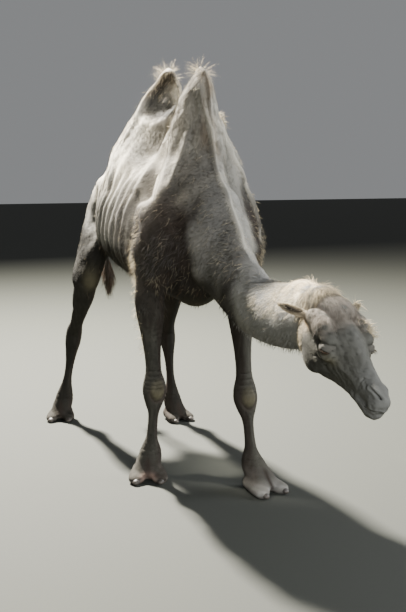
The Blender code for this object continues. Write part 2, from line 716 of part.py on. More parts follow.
def main():
    """Builds the body, parts it and sets every piece in the scene."""
    for thing in list(bpy.data.objects):
        bpy.data.objects.remove(thing)
    body = fused_body()
    tools = [ground_block(), *saw_cuts()]
    pieces = {}
    for side, sign in SIDES.items():
        tools.append(eyeball("socket", sign, SOCKET_GAP))
        pieces[f"eye_{side}"] = eyeball(f"eye_{side}", sign)
        for leg in LEGS:
            tools.append(toenail("bed", leg, sign, SOCKET_GAP))
            place = "outer" if leg.endswith(side) else "inner"
            pieces[f"toenail_{leg}_{place}"] = toenail("nail", leg, sign)
    for tool in tools:
        carve(body, new_object("tool", tool))
    parts = loose_parts(body.data)
    bpy.data.objects.remove(body)
    marks = landmarks()
    for part in parts:
        at = np.array([vertex.co[:] for vertex in part.vertices])
        middle = Vector((at.min(0) + at.max(0)) / 2)
        name = min(marks, key=lambda key: (marks[key] - middle).length)
        if name in pieces:
            raise ValueError(f"two pieces lie nearest to the landmark of {name}")
        pieces[name] = part
    points = np.array([vertex.co[:] for part in pieces.values() for vertex in part.vertices])
    low, high = points.min(0), points.max(0)
    shift = Matrix.Translation((-(low[0] + high[0]) / 2, -(low[1] + high[1]) / 2, -low[2]))
    for name, mesh in sorted(pieces.items()):
        mesh.transform(shift)
        mesh.name = name
        mesh.materials.append(coat_material(name, *colour_of(name)))
        mesh.shade_smooth()
        mesh.set_sharp_from_angle(angle=math.radians(50))
        new_object(name, mesh)


if __name__ == "__main__":
    main()
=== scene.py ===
# %% [markdown]
# # A shed-out Bactrian camel
# This lesson builds the looks of a life-size Bactrian camel: a lean adult in early summer that has
# dropped nearly all of its winter wool. Its legs, ribs and skin folds show, and rags of old wool
# hang on its humps, shoulders and crown. The solids of the body are already there, as a fixed
# frame, and the looks are built round them. The plan is: camera and light, one skin for the whole
# body, eyes, lids and nails, and last the coat, lock by lock.

# %% Start from the fixed frame
import math

import bmesh
import bpy
import numpy as np
from mathutils import Matrix, Vector
from mathutils.bvhtree import BVHTree


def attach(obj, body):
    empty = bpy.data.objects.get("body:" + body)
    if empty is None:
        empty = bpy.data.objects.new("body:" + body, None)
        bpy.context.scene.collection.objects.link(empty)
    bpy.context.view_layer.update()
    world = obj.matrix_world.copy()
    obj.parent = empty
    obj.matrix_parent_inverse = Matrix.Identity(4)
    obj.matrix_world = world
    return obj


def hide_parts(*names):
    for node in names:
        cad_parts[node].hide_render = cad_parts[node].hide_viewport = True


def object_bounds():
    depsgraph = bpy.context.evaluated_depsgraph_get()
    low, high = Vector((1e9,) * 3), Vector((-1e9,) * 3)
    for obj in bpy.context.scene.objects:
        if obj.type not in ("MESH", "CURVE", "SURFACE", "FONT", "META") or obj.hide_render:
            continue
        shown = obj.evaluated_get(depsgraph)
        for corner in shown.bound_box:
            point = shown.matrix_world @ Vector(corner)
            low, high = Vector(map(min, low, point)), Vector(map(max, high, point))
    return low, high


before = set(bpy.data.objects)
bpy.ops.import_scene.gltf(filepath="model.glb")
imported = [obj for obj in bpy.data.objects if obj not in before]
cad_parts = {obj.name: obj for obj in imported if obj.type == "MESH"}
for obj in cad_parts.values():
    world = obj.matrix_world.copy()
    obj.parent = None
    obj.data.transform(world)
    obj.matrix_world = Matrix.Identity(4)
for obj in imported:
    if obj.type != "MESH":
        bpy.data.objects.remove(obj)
cad_box = [list(corner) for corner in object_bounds()]
print("the solids' box:", [[round(v, 3) for v in corner] for corner in cad_box])

# %% [markdown]
# ## Where the animal stands
# Everything below is measured in the animal's own frame: its spine is the plane x = 0, its fore
# feet are near y = 0, it walks towards -Y and +X is its left. The feet aren't symmetric, so that
# frame is a little off the middle of the box, and HOME carries it there.

# %% The animal's own frame
HOME = np.array([0.01667, -0.03607, 0.0])
SIDES = {"left": 1, "right": -1}
chance = np.random.default_rng(7)  # one seeded source of chance for the whole lesson

# %% [markdown]
# ## Camera
# A standing person looks slightly down at the animal from its front right, so the neck and the head
# come towards us and the body is foreshortened.

# %% Camera
FOCAL_LENGTH, SENSOR, FAR_LIMIT = 53.7, 36.0, 200.0  # mm, mm, m
EYE_LEVEL = 1.5928
STANDS_AT = (-1.8789, -4.1297, EYE_LEVEL)  # in the animal's own frame
TILT, HEADING = 81.562, -24.307  # degrees


def linked(thing):
    """Puts an object into the scene."""
    bpy.context.scene.collection.objects.link(thing)
    return thing


view = bpy.data.cameras.new("view")
view.lens, view.sensor_width, view.clip_end = FOCAL_LENGTH, SENSOR, FAR_LIMIT
camera = linked(bpy.data.objects.new("camera", view))
camera.location = Vector(STANDS_AT) + Vector(HOME)
camera.rotation_euler = (math.radians(TILT), 0.0, math.radians(HEADING))
bpy.context.scene.camera = camera
print("camera at:", [round(v, 3) for v in camera.location])

# %% [markdown]
# ## Light
# A high sun behind the animal draws its back, nape and ribs, with the front in shade, so the key is
# a small warm lamp up there. The humps would keep it off the saddle between them, so a narrow beam
# from the right reaches in. Two wide cool lamps open the chest and the left side a little, and a
# pale world fills the rest.


# %% Lamps, world and floor
KEY_POWER, BEAM_POWER, FRONT_POWER, SIDE_POWER = 14500, 9000, 600, 480  # watts
SUNLIGHT, FRONT_LIGHT, SIDE_LIGHT = (1.0, 0.95, 0.86), (0.93, 0.96, 1.0), (0.95, 0.97, 1.0)
KEY_SIZE, SOFT_SIZE = 0.5, 3.0
BEAM_WIDTH, BEAM_BLEND, BEAM_SOFTNESS = math.radians(10.5), 0.8, 0.25
SKY, SKY_STRENGTH = (0.8, 0.82, 0.84, 1.0), 0.3
FLOOR_HALF = 40.0


def lamp(name, kind, place, target, power, colour):
    """A lamp at a place, turned towards a target."""
    data = bpy.data.lights.new(name, kind)
    data.energy, data.color = power, colour
    made = linked(bpy.data.objects.new(name, data))
    made.location = place
    made.rotation_euler = (Vector(target) - Vector(place)).to_track_quat("-Z", "Y").to_euler()
    return data


key = lamp("key", "AREA", (-0.45, 5.9, 6.7), (0.0, 0.1, 1.2), KEY_POWER, SUNLIGHT)
front = lamp("front", "AREA", (-0.9, -6.4, 2.6), (0.0, -0.4, 1.0), FRONT_POWER, FRONT_LIGHT)
left = lamp("left_side", "AREA", (5.0, -1.0, 3.0), (0.0, 0.2, 1.0), SIDE_POWER, SIDE_LIGHT)
key.size, front.size, left.size = KEY_SIZE, SOFT_SIZE, SOFT_SIZE
beam = lamp("saddle", "SPOT", (-2.2, 1.4, 5.6), (-0.2, 0.45, 1.62), BEAM_POWER, SUNLIGHT)
beam.spot_size, beam.spot_blend, beam.shadow_soft_size = BEAM_WIDTH, BEAM_BLEND, BEAM_SOFTNESS

world = bpy.data.worlds.new("studio")
world.use_nodes = True
world.node_tree.nodes["Background"].inputs["Color"].default_value = SKY
world.node_tree.nodes["Background"].inputs["Strength"].default_value = SKY_STRENGTH
bpy.context.scene.world = world

floor_mesh = bpy.data.meshes.new("floor")
corners = [(x * FLOOR_HALF, y * FLOOR_HALF, 0) for x, y in ((-1, -1), (1, -1), (1, 1), (-1, 1))]
floor_mesh.from_pydata(corners, [], [(0, 1, 2, 3)])
floor = linked(bpy.data.objects.new("floor", floor_mesh))
print("lamps:", len(bpy.data.lights), "and a floor", 2 * FLOOR_HALF, "m wide")

# %% [markdown]
# ## Arrays as clay
# Every form starts as numbers in arrays. A few small helpers do the shaping: a ramp that eases from
# 0 to 1, a bell that fades out round a place, a blob that is a bell in three directions, the
# distance to a bent line, and a soft noise made of seeded waves.


# %% Shaping helpers
def ramp(value, low, high):
    """0 below low, 1 above high, and an eased step between: 3t^2 - 2t^3."""
    t = np.clip((value - low) / (high - low), 0, 1)
    return t * t * (3 - 2 * t)


def bell(distance, width):
    """1 at no distance, falling as exp(-(distance / width)^2)."""
    return np.exp(-((distance / width) ** 2))


def blob(at, centre, radii):
    """A soft ellipsoid: 1 at its centre, exp(-1) on the given radii."""
    return np.exp(-((((at - np.asarray(centre)) / np.asarray(radii)) ** 2).sum(1)))


def near_line(at, line):
    """Distance of each point to a bent line, and how far along the line it lies, from 0 to 1."""
    line = np.asarray(line, float)
    spans = np.diff(line, axis=0)
    lengths = np.linalg.norm(spans, axis=1)
    passed = np.concatenate([[0.0], np.cumsum(lengths)])
    best = np.full(len(at), np.inf)
    share = np.zeros(len(at))
    for start, span, length, before in zip(line[:-1], spans, lengths, passed[:-1]):
        along = np.clip((at - start) @ span / length**2, 0, 1)
        gap = np.linalg.norm(at - start - along[:, None] * span, axis=1)
        closer = gap < best
        best[closer] = gap[closer]
        share[closer] = (before + along[closer] * length) / passed[-1]
    return best, share


def fold(at, line, height, width):
    """A ridge (or with a negative height a groove) along a bent line, fading at its two ends."""
    gap, share = near_line(at, line)
    return height * bell(gap, width) * ramp(share, 0, 0.12) * ramp(1 - share, 0, 0.12)


def noise(at, size, seed, waves=28):
    """Soft noise from -1 to 1: the mean of sine waves about as long as size, in seeded directions."""
    pick = np.random.default_rng(seed)
    way = pick.normal(size=(waves, 3))
    way *= (2 * math.pi / size / np.linalg.norm(way, axis=1) * pick.uniform(0.6, 1.5, waves))[:, None]
    total = np.zeros(len(at))
    for direction, phase in zip(way, pick.uniform(0, 2 * math.pi, waves)):
        total += np.sin(at @ direction + phase)
    return total / math.sqrt(waves) * 0.9


print("shaping helpers: ramp, bell, blob, near_line, fold and noise")

# %% [markdown]
# ## The masses of the body
# A camel is a set of tapered limbs carried along its bones. Each limb here is a short table of
# stations, one row for each place where its section changes, read through a smooth curve. The same
# stations made the solids. A sculpted mesh would be quicker to bend by hand, but a table can be
# read, checked and changed.

# %% Limbs from stations
RING_POINTS = 36


def even_turns(count):
    """Angles that part a whole turn evenly."""
    return np.linspace(0, 2 * math.pi, count, endpoint=False)


def smooth_rows(rows, count):
    """Rows of numbers read at count places along a cubic curve through all of them."""
    rows = np.asarray(rows, float)
    step = np.linalg.norm(np.diff(rows[:, :3], axis=0), axis=1)
    at = np.concatenate([[0.0], np.cumsum(np.maximum(step, 1e-6))])
    slope = np.gradient(rows, at, axis=0)
    want = np.linspace(0.0, at[-1], count)
    low = np.clip(np.searchsorted(at, want, side="right") - 1, 0, len(at) - 2)
    gap = (at[low + 1] - at[low])[:, None]
    t = ((want - at[low]) / gap[:, 0])[:, None]
    return (
        (2 * t**3 - 3 * t**2 + 1) * rows[low]
        + (t**3 - 2 * t**2 + t) * gap * slope[low]
        + (3 * t**2 - 2 * t**3) * rows[low + 1]
        + (t**3 - t**2) * gap * slope[low + 1]
    )


def ring_faces(count, around):
    """Quads between rings of points, and the two end caps."""
    ring, spoke = np.meshgrid(np.arange(count - 1), np.arange(around), indexing="ij")
    after = (spoke + 1) % around
    here, ahead = ring * around, (ring + 1) * around
    quads = np.stack([here + spoke, here + after, ahead + after, ahead + spoke], -1).reshape(-1, 4)
    return quads.tolist() + [list(range(around))[::-1], list(range((count - 1) * around, count * around))]


def outward(mesh):
    """Turns every face of a mesh outwards."""
    shape = bmesh.new()
    shape.from_mesh(mesh)
    bmesh.ops.recalc_face_normals(shape, faces=shape.faces)
    shape.to_mesh(mesh)
    shape.free()
    return mesh


def limb(stations, side_axis=(1, 0, 0), taper=0.0, rings=60):
    """A limb through stations of (x, y, z, half width, reach one way, reach the other way).

    Its section is an ellipse of that half width along side_axis, with two half heights across it.
    The taper narrows it towards the first reach, as a roof narrows to its ridge.
    """
    rows = smooth_rows(stations, rings)
    path = rows[:, :3]
    sideways = np.asarray(side_axis, float)
    run = np.gradient(path, axis=0)
    run /= np.linalg.norm(run, axis=1)[:, None]
    side = sideways - run * (run @ sideways)[:, None]
    side /= np.linalg.norm(side, axis=1)[:, None]
    up = np.cross(run, side)
    turn = even_turns(RING_POINTS)
    across = np.sin(turn) * (1 - taper * np.maximum(np.cos(turn), 0) ** 2)
    reach = np.where(np.cos(turn) > 0, rows[:, 4:5], rows[:, 5:6]) * np.cos(turn)
    wide = rows[:, 3:4] * across
    points = path[:, None] + side[:, None] * wide[..., None] + up[:, None] * reach[..., None]
    mesh = bpy.data.meshes.new("limb")
    mesh.from_pydata(points.reshape(-1, 3).tolist(), [], ring_faces(rings, RING_POINTS))
    return outward(mesh)


def unit_ball(up, around):
    """Points of a ball of radius 1, in rings at even latitudes without the poles."""
    latitude = np.linspace(-math.pi / 2, math.pi / 2, up + 1)[1:-1]
    longitude = even_turns(around)
    level, height = np.cos(latitude)[:, None], np.sin(latitude)[:, None] + 0 * longitude
    return np.stack([level * np.cos(longitude), level * np.sin(longitude), height], -1).reshape(-1, 3)


def ball(centre, radii, around=40, up=24):
    """An ellipsoid: a unit ball scaled to its radii, with a small cap over each pole."""
    mesh = bpy.data.meshes.new("ball")
    points = unit_ball(up, around) * np.asarray(radii) + np.asarray(centre)
    mesh.from_pydata(points.tolist(), [], ring_faces(up - 1, around))
    return outward(mesh)


print("each ring of a limb has", RING_POINTS, "points")

# %% [markdown]
# ## Trunk, humps and tail
# The deep chest stands on the fore legs and the barrel rises towards a sloping rump. A fat hump is
# a firm cone of fat. A spent one is slack: the rear one here leans forwards and to the left.

# %% Trunk, humps and tail
TRUNK = (
    (0, -0.33, 1.19, 0.06, 0.12, 0.12),
    (0, -0.26, 1.19, 0.13, 0.21, 0.18),
    (0, -0.14, 1.21, 0.18, 0.34, 0.23),
    (0, 0.06, 1.23, 0.232, 0.45, 0.31),
    (0, 0.34, 1.24, 0.265, 0.47, 0.31),
    (0, 0.62, 1.26, 0.287, 0.45, 0.305),
    (0, 0.88, 1.29, 0.281, 0.43, 0.285),
    (0, 1.08, 1.33, 0.244, 0.37, 0.25),
    (0, 1.27, 1.36, 0.205, 0.28, 0.21),
    (0, 1.43, 1.35, 0.15, 0.19, 0.17),
    (0, 1.56, 1.32, 0.07, 0.09, 0.1),
)
FRONT_HUMP = (
    (0, 0.05, 2.125, 0.014, 0.028, 0.032),
    (0, 0.055, 2.09, 0.04, 0.074, 0.09),
    (0, 0.07, 2.03, 0.056, 0.108, 0.145),
    (0, 0.095, 1.95, 0.076, 0.15, 0.18),
    (0.004, 0.12, 1.86, 0.104, 0.21, 0.215),
    (0.022, 0.15, 1.76, 0.15, 0.265, 0.26),
    (0.035, 0.17, 1.66, 0.192, 0.32, 0.31),
    (0.032, 0.18, 1.56, 0.224, 0.35, 0.34),
    (0.015, 0.19, 1.42, 0.228, 0.33, 0.33),
    (0, 0.2, 1.3, 0.15, 0.24, 0.24),
)
REAR_HUMP = (
    (0.052, 0.575, 2.16, 0.016, 0.036, 0.04),
    (0.052, 0.59, 2.125, 0.048, 0.09, 0.105),
    (0.047, 0.622, 2.05, 0.068, 0.134, 0.175),
    (0.03, 0.66, 1.96, 0.088, 0.175, 0.235),
    (0.015, 0.7, 1.87, 0.102, 0.21, 0.258),
    (0.005, 0.745, 1.78, 0.136, 0.245, 0.298),
    (0, 0.775, 1.69, 0.188, 0.275, 0.345),
    (0, 0.8, 1.59, 0.228, 0.3, 0.37),
    (0, 0.82, 1.46, 0.235, 0.29, 0.35),
    (0, 0.83, 1.34, 0.15, 0.2, 0.24),
)
TAIL = (
    (0, 1.44, 1.42, 0.05, 0.045, 0.045),
    (0, 1.56, 1.38, 0.036, 0.034, 0.034),
    (0.004, 1.622, 1.26, 0.026, 0.026, 0.026),
    (0.012, 1.635, 1.12, 0.022, 0.022, 0.022),
    (0.02, 1.622, 1.0, 0.026, 0.028, 0.026),
    (0.024, 1.607, 0.91, 0.03, 0.032, 0.03),
    (0.026, 1.6, 0.85, 0.01, 0.01, 0.01),
)
BACKWARDS = (-1, 0, 0)  # side axis of a limb that runs back or down
forms = [
    limb(TRUNK, BACKWARDS, taper=0.2, rings=90),
    limb(FRONT_HUMP, BACKWARDS),
    limb(REAR_HUMP, BACKWARDS),
    limb(TAIL),
]
print("trunk, humps and tail:", len(forms), "forms")

# %% [markdown]
# ## Neck and head
# The neck leaves the chest low, dips and runs level to the head. The skull has a frame of its own,
# with x towards the muzzle, y to the left and z up, so that its two sides stay alike while the head
# tilts.

# %% Neck and head
NECK = (
    (0, 0.02, 1.41, 0.13, 0.26, 0.28),
    (0, -0.18, 1.2, 0.124, 0.235, 0.205),
    (0, -0.37, 1.07, 0.11, 0.188, 0.165),
    (-0.002, -0.56, 1.0, 0.099, 0.158, 0.148),
    (-0.004, -0.76, 0.985, 0.092, 0.142, 0.14),
    (-0.008, -0.91, 1.003, 0.09, 0.14, 0.142),
    (-0.012, -1.03, 1.028, 0.088, 0.138, 0.15),
    (-0.012, -1.14, 1.03, 0.066, 0.095, 0.115),
)
NAPE = (-0.012, -1.112, 1.045)
HEAD_YAW, HEAD_PITCH, HEAD_ROLL = -1.0, 15.2, -4.2  # degrees
head_frame = (
    Matrix.Translation(NAPE)
    @ Matrix.Rotation(math.radians(HEAD_YAW), 4, "Z")
    @ Matrix(((0, 1, 0, 0), (-1, 0, 0, 0), (0, 0, 1, 0), (0, 0, 0, 1)))
    @ Matrix.Rotation(math.radians(HEAD_PITCH), 4, "Y")
    @ Matrix.Rotation(math.radians(HEAD_ROLL), 4, "X")
)
HEAD_TURN, HEAD_PLACE = np.array(head_frame.to_3x3()), np.array(head_frame.translation)


def from_head(points):
    """Points of the skull's frame in the animal's frame."""
    return np.asarray(points, float) @ HEAD_TURN.T + HEAD_PLACE


def to_head(points):
    """Points of the animal's frame in the skull's frame."""
    return (points - HEAD_PLACE) @ HEAD_TURN


SKULL = (
    (-0.06, 0, -0.05, 0.06, 0.085, 0.07),
    (0, 0, -0.06, 0.082, 0.122, 0.11),
    (0.08, 0, -0.075, 0.094, 0.145, 0.133),
    (0.15, 0, -0.065, 0.096, 0.125, 0.143),
    (0.215, 0, -0.065, 0.086, 0.101, 0.131),
    (0.275, 0, -0.08, 0.067, 0.084, 0.104),
    (0.335, 0, -0.095, 0.05, 0.069, 0.081),
    (0.4, 0, -0.11, 0.04, 0.058, 0.062),
    (0.45, 0, -0.122, 0.036, 0.048, 0.048),
    (0.49, 0, -0.13, 0.034, 0.036, 0.042),
    (0.512, 0, -0.14, 0.026, 0.028, 0.028),
    (0.522, 0, -0.144, 0.011, 0.018, 0.014),
)
LOWER_JAW = (
    (0.06, 0, -0.16, 0.05, 0.05, 0.052),
    (0.12, 0, -0.17, 0.05, 0.05, 0.042),
    (0.23, 0, -0.165, 0.04, 0.036, 0.03),
    (0.33, 0, -0.166, 0.034, 0.028, 0.026),
    (0.405, 0, -0.175, 0.035, 0.024, 0.028),
    (0.45, 0, -0.182, 0.034, 0.018, 0.03),
    (0.482, 0, -0.18, 0.028, 0.018, 0.026),
    (0.506, 0, -0.174, 0.012, 0.008, 0.012),
)
EAR_ROOT, EAR_TIP = np.array([0.03, 0.08, 0.0]), np.array([-0.022, 0.196, 0.03])
EAR_SECTIONS = (  # share of its length, half width, half thickness
    (0, 0.022, 0.02),
    (0.25, 0.027, 0.017),
    (0.6, 0.025, 0.012),
    (0.88, 0.015, 0.009),
    (1, 0.004, 0.004),
)
EAR_SIDEWAYS = np.array([0.75, 0, -0.65])


def mirrored(point, side):
    """A point of the skull's frame, on the asked side."""
    return np.array([point[0], side * point[1], point[2]])


def ear(side):
    """A small leaf held out sideways and a little back."""
    root, tip = mirrored(EAR_ROOT, side), mirrored(EAR_TIP, side)
    rows = [(*(root + (tip - root) * share), width, thick, thick) for share, width, thick in EAR_SECTIONS]
    return limb(rows, side_axis=EAR_SIDEWAYS, rings=30)


head_forms = [
    limb(SKULL, (0, 1, 0), taper=0.18, rings=100),
    limb(LOWER_JAW, (0, 1, 0)),
    ball((0.0, 0, 0.06), (0.075, 0.064, 0.052)),
    ball((0.085, 0.006, 0.056), (0.085, 0.072, 0.046)),
]
for side in SIDES.values():
    head_forms += [
        ear(side),
        ball((0.196, side * 0.078, -0.014), (0.056, 0.04, 0.03)),
        ball((0.105, side * 0.05, -0.125), (0.085, 0.044, 0.08)),
        ball((0.212, side * 0.076, -0.066), (0.056, 0.036, 0.034)),
        ball((0.12, side * 0.078, 0.014), (0.09, 0.04, 0.046)),
        ball((0.445, side * 0.015, -0.098), (0.05, 0.02, 0.021)),
        ball((0.474, side * 0.016, -0.142), (0.04, 0.022, 0.034)),
    ]
for form in head_forms:
    form.transform(head_frame)
forms += [limb(NECK, (1, 0, 0), taper=0.25, rings=90), *head_forms]
print("neck and head:", 1 + len(head_forms), "forms")

# %% [markdown]
# ## Legs and feet
# A camel's leg is long and bare of fat, so each joint shows as a knot in a thin rod. It stands on
# two broad toes that spread on a soft pad. The stride comes from where each joint lies, given here
# as x and y.

# %% Legs and feet
FORE_JOINTS = {
    "left": ((0.225, 0.075), (0.162, -0.13), (0.178, -0.172), (0.204, -0.232)),
    "right": ((-0.245, 0.15), (-0.205, 0.185), (-0.224, 0.198), (-0.248, 0.18)),
}
HIND_JOINTS = {
    "left": ((0.24, 0.99), (0.297, 1.25), (0.308, 1.208), (0.326, 1.182)),
    "right": ((-0.275, 1.13), (-0.262, 1.46), (-0.315, 1.51), (-0.345, 1.5)),
}
FORE_HEIGHTS = (0.98, 0.47, 0.15, 0.05)
HIND_HEIGHTS = (0.93, 0.555, 0.155, 0.05)
TOE_OUT = {"fore_left": 12, "fore_right": -20, "hind_left": 8, "hind_right": -22}
TOE_SPLAY = 9
FOOT_SIZE = {"fore": (0.24, 0.212), "hind": (0.215, 0.186)}
LEGS = [f"{which}_{side}" for which in ("fore", "hind") for side in SIDES]


def joint_points(leg):
    """The four joints of a leg as points, from elbow or stifle down to the foot."""
    which, side = leg.split("_")
    places = (FORE_JOINTS if which == "fore" else HIND_JOINTS)[side]
    heights = FORE_HEIGHTS if which == "fore" else HIND_HEIGHTS
    return [np.array([*place, height]) for place, height in zip(places, heights)]


def bone(start, end, shares):
    """Stations between two joints, from rows of (share of the way, half width, reach ahead, behind)."""
    return [(*(start + (end - start) * share), *reach) for share, *reach in shares]


FOREARM = (
    (-0.15, 0.07, 0.08, 0.09),
    (0.05, 0.082, 0.08, 0.092),
    (0.25, 0.072, 0.066, 0.074),
    (0.45, 0.055, 0.054, 0.055),
    (0.65, 0.044, 0.047, 0.046),
    (0.82, 0.045, 0.05, 0.046),
    (0.94, 0.062, 0.062, 0.052),
)
FORE_CANNON = (
    (0.06, 0.064, 0.066, 0.054),
    (0.2, 0.052, 0.052, 0.048),
    (0.36, 0.034, 0.035, 0.036),
    (0.62, 0.029, 0.031, 0.034),
    (0.82, 0.034, 0.036, 0.04),
    (1.0, 0.058, 0.05, 0.054),
)
GASKIN = (
    (-0.05, 0.07, 0.08, 0.085),
    (0.18, 0.068, 0.072, 0.09),
    (0.48, 0.053, 0.052, 0.066),
    (0.8, 0.042, 0.044, 0.048),
)
HIND_CANNON = (
    (-0.04, 0.052, 0.054, 0.062),
    (0.1, 0.052, 0.052, 0.056),
    (0.28, 0.04, 0.04, 0.042),
    (0.5, 0.03, 0.031, 0.034),
    (0.72, 0.03, 0.031, 0.034),
    (0.86, 0.04, 0.038, 0.042),
    (1.0, 0.056, 0.05, 0.052),
)
FORE_BONES = (FOREARM, FORE_CANNON, (0.066, 0.062, 0.06))
HIND_BONES = (GASKIN, HIND_CANNON, (0.06, 0.058, 0.056))


def leg_stations(leg):
    """Stations of the free leg, from the elbow or stifle to the foot."""
    top, middle, fetlock, heel = joint_points(leg)
    upper, cannon, ankle = FORE_BONES if leg.startswith("fore") else HIND_BONES
    return bone(top, middle, upper) + bone(middle, fetlock, cannon) + [(*heel, *ankle)]


def shoulder(leg):
    """Shoulder blade and upper arm, and the point of the shoulder."""
    out = SIDES[leg.split("_")[1]]
    shift = joint_points(leg)[0][1] - 0.11
    rows = (
        (out * 0.06, 0.22 + shift, 1.64, 0.02, 0.05, 0.06),
        (out * 0.1, 0.2 + shift, 1.58, 0.06, 0.12, 0.13),
        (out * 0.155, 0.16 + shift, 1.48, 0.085, 0.165, 0.17),
        (out * 0.198, 0.12 + shift, 1.35, 0.102, 0.195, 0.195),
        (out * 0.22, 0.1 + shift, 1.215, 0.106, 0.205, 0.2),
        (out * 0.228, 0.11 + shift, 1.09, 0.094, 0.16, 0.17),
        (out * 0.228, 0.11 + shift, 0.97, 0.066, 0.085, 0.095),
        (out * 0.225, 0.11 + shift, 0.89, 0.04, 0.045, 0.045),
        (out * 0.225, 0.11 + shift, 0.86, 0.015, 0.015, 0.015),
    )
    return [limb(rows, BACKWARDS), ball((out * 0.16, shift - 0.05, 1.24), (0.08, 0.11, 0.16))]


def haunch(leg):
    """Thigh and rump muscle, and the hip bone."""
    out = SIDES[leg.split("_")[1]]
    knee = joint_points(leg)[0]
    rows = (
        (out * 0.05, 1.24, 1.57, 0.02, 0.05, 0.05),
        (out * 0.07, 1.23, 1.52, 0.056, 0.13, 0.12),
        (out * 0.102, 1.23, 1.43, 0.078, 0.185, 0.17),
        (out * 0.138, (1.22 + knee[1]) / 2 + 0.06, 1.3, 0.09, 0.21, 0.19),
        (out * 0.198, knee[1] + 0.08, 1.12, 0.094, 0.19, 0.2),
        (knee[0] - out * 0.022, knee[1] + 0.05, 0.99, 0.084, 0.145, 0.17),
        (knee[0], knee[1] + 0.06, 0.89, 0.06, 0.09, 0.11),
        (knee[0], knee[1] + 0.07, 0.85, 0.02, 0.03, 0.04),
    )
    return [limb(rows, BACKWARDS), ball((out * 0.155, 1.095, 1.475), (0.055, 0.11, 0.09))]


def foot_frame(leg):
    """A foot's own frame on the ground: x to the toes, y to the left and z up."""
    x, y, _ = joint_points(leg)[3]
    return Matrix.Translation((x, y, 0)) @ Matrix.Rotation(math.radians(TOE_OUT[leg] - 90), 4, "Z")


def foot(leg):
    """The heel and two toes that spread apart."""
    length, width = FOOT_SIZE[leg.split("_")[0]]
    instep = (
        (-0.14 * length, 0, 0.098, 0.29 * width, 0.045, 0.05),
        (0.02 * length, 0, 0.078, 0.32 * width, 0.036, 0.05),
        (0.18 * length, 0, 0.052, 0.31 * width, 0.026, 0.04),
        (0.34 * length, 0, 0.03, 0.2 * width, 0.014, 0.02),
    )
    made = [
        ball((-0.1 * length, 0, 0.04), (0.34 * length, 0.4 * width, 0.054)),
        limb(instep, (0, 1, 0), rings=30),
    ]
    for side in SIDES.values():
        rows = (
            (-0.2 * length, side * 0.17 * width, 0.036, 0.18 * width, 0.036, 0.042),
            (0.05 * length, side * 0.205 * width, 0.036, 0.215 * width, 0.038, 0.044),
            (0.28 * length, side * 0.225 * width, 0.03, 0.215 * width, 0.026, 0.038),
            (0.44 * length, side * 0.22 * width, 0.024, 0.175 * width, 0.018, 0.032),
            (0.52 * length, side * 0.205 * width, 0.018, 0.08 * width, 0.01, 0.02),
        )
        toe = limb(rows, (0, 1, 0), rings=40)
        toe.transform(Matrix.Rotation(math.radians(side * TOE_SPLAY), 4, "Z"))
        made.append(toe)
    for form in made:
        form.transform(foot_frame(leg))
    return made


for leg in LEGS:
    forms += shoulder(leg) if leg.startswith("fore") else haunch(leg)
    forms += [limb(leg_stations(leg), BACKWARDS, rings=90), *foot(leg)]
print("all the masses:", len(forms), "forms")

# %% [markdown]
# ## One skin
# Real skin runs over every joint without a seam. A sculptor would press the masses together and
# smear the joins. Here they are fused on a fine grid of cubes, smoothed, and smoothed far more over
# trunk, humps and neck root, where thick flesh hides the bones. The head is split finer, as its
# folds are a few millimetres wide.

# %% Fuse and smooth the masses
GRID = 0.005
TRIED_GRID = 0.007  # the grid for which the two smoothing counts below were chosen
SOFT_PASSES, MELT_PASSES = 8, 120
SOFT_FACTOR, MELT_FACTOR = 0.5, 0.9


def settle(thing):
    """Applies an object's modifiers and puts the result in its place."""
    graph = bpy.context.evaluated_depsgraph_get()
    mesh = bpy.data.meshes.new_from_object(thing.evaluated_get(graph))
    thing.modifiers.clear()
    thing.data = mesh


def places(mesh):
    """The vertices of a mesh as an array."""
    at = np.empty(3 * len(mesh.vertices), np.float32)
    mesh.vertices.foreach_get("co", at)
    return at.reshape(-1, 3).astype(float)


def directions(mesh):
    """The vertex normals of a mesh as an array."""
    out = np.empty(3 * len(mesh.vertices), np.float32)
    mesh.vertices.foreach_get("normal", out)
    return out.reshape(-1, 3).astype(float)


def move_to(mesh, at):
    """Puts the vertices of a mesh at new places."""
    mesh.vertices.foreach_set("co", np.ascontiguousarray(at, np.float32).ravel())
    mesh.update()


def weight_group(thing, name, weights):
    """A vertex group with weights in steps of a tenth."""
    group = thing.vertex_groups.new(name=name)
    for share in range(1, 11):
        here = np.flatnonzero(np.round(weights * 10) == share)
        group.add(here.tolist(), share / 10, "REPLACE")
    return group.name


whole = bmesh.new()
for form in forms:
    whole.from_mesh(form)
skin_mesh = bpy.data.meshes.new("skin")
whole.to_mesh(skin_mesh)
whole.free()
skin = linked(bpy.data.objects.new("skin", skin_mesh))
fuse = skin.modifiers.new("fuse", "REMESH")
fuse.mode, fuse.voxel_size = "VOXEL", GRID
settle(skin)
finer = (TRIED_GRID / GRID) ** 2
soften = skin.modifiers.new("soften", "SMOOTH")
soften.factor, soften.iterations = SOFT_FACTOR, round(SOFT_PASSES * finer)
at = places(skin.data)
broad = ramp(at[:, 2], 0.92, 1.04) * ramp(at[:, 1], -0.72, -0.52) * ramp(1.56 - at[:, 1], 0, 0.08)
melt = skin.modifiers.new("melt", "SMOOTH")
melt.factor, melt.iterations = MELT_FACTOR, round(MELT_PASSES * finer)
melt.vertex_group = weight_group(skin, "broad", broad)
settle(skin)
print("fused skin:", len(skin.data.vertices), "points")

# %% [markdown]
# ## Spent fat
# A hump that has given up its fat is a slack bag. The right side of the rear one caves in, and so
# does the right foot of the front one. Both are pushed in here, as bending the masses themselves
# would need many more stations.

# %% Slack sides of the humps
# the hollow in the rear hump's right side: its middle and reach along y and z, and its depth
CAVE_PLACE, CAVE_REACH, CAVE_DEPTH = (0.585, 1.985), (0.185, 0.15), 0.062
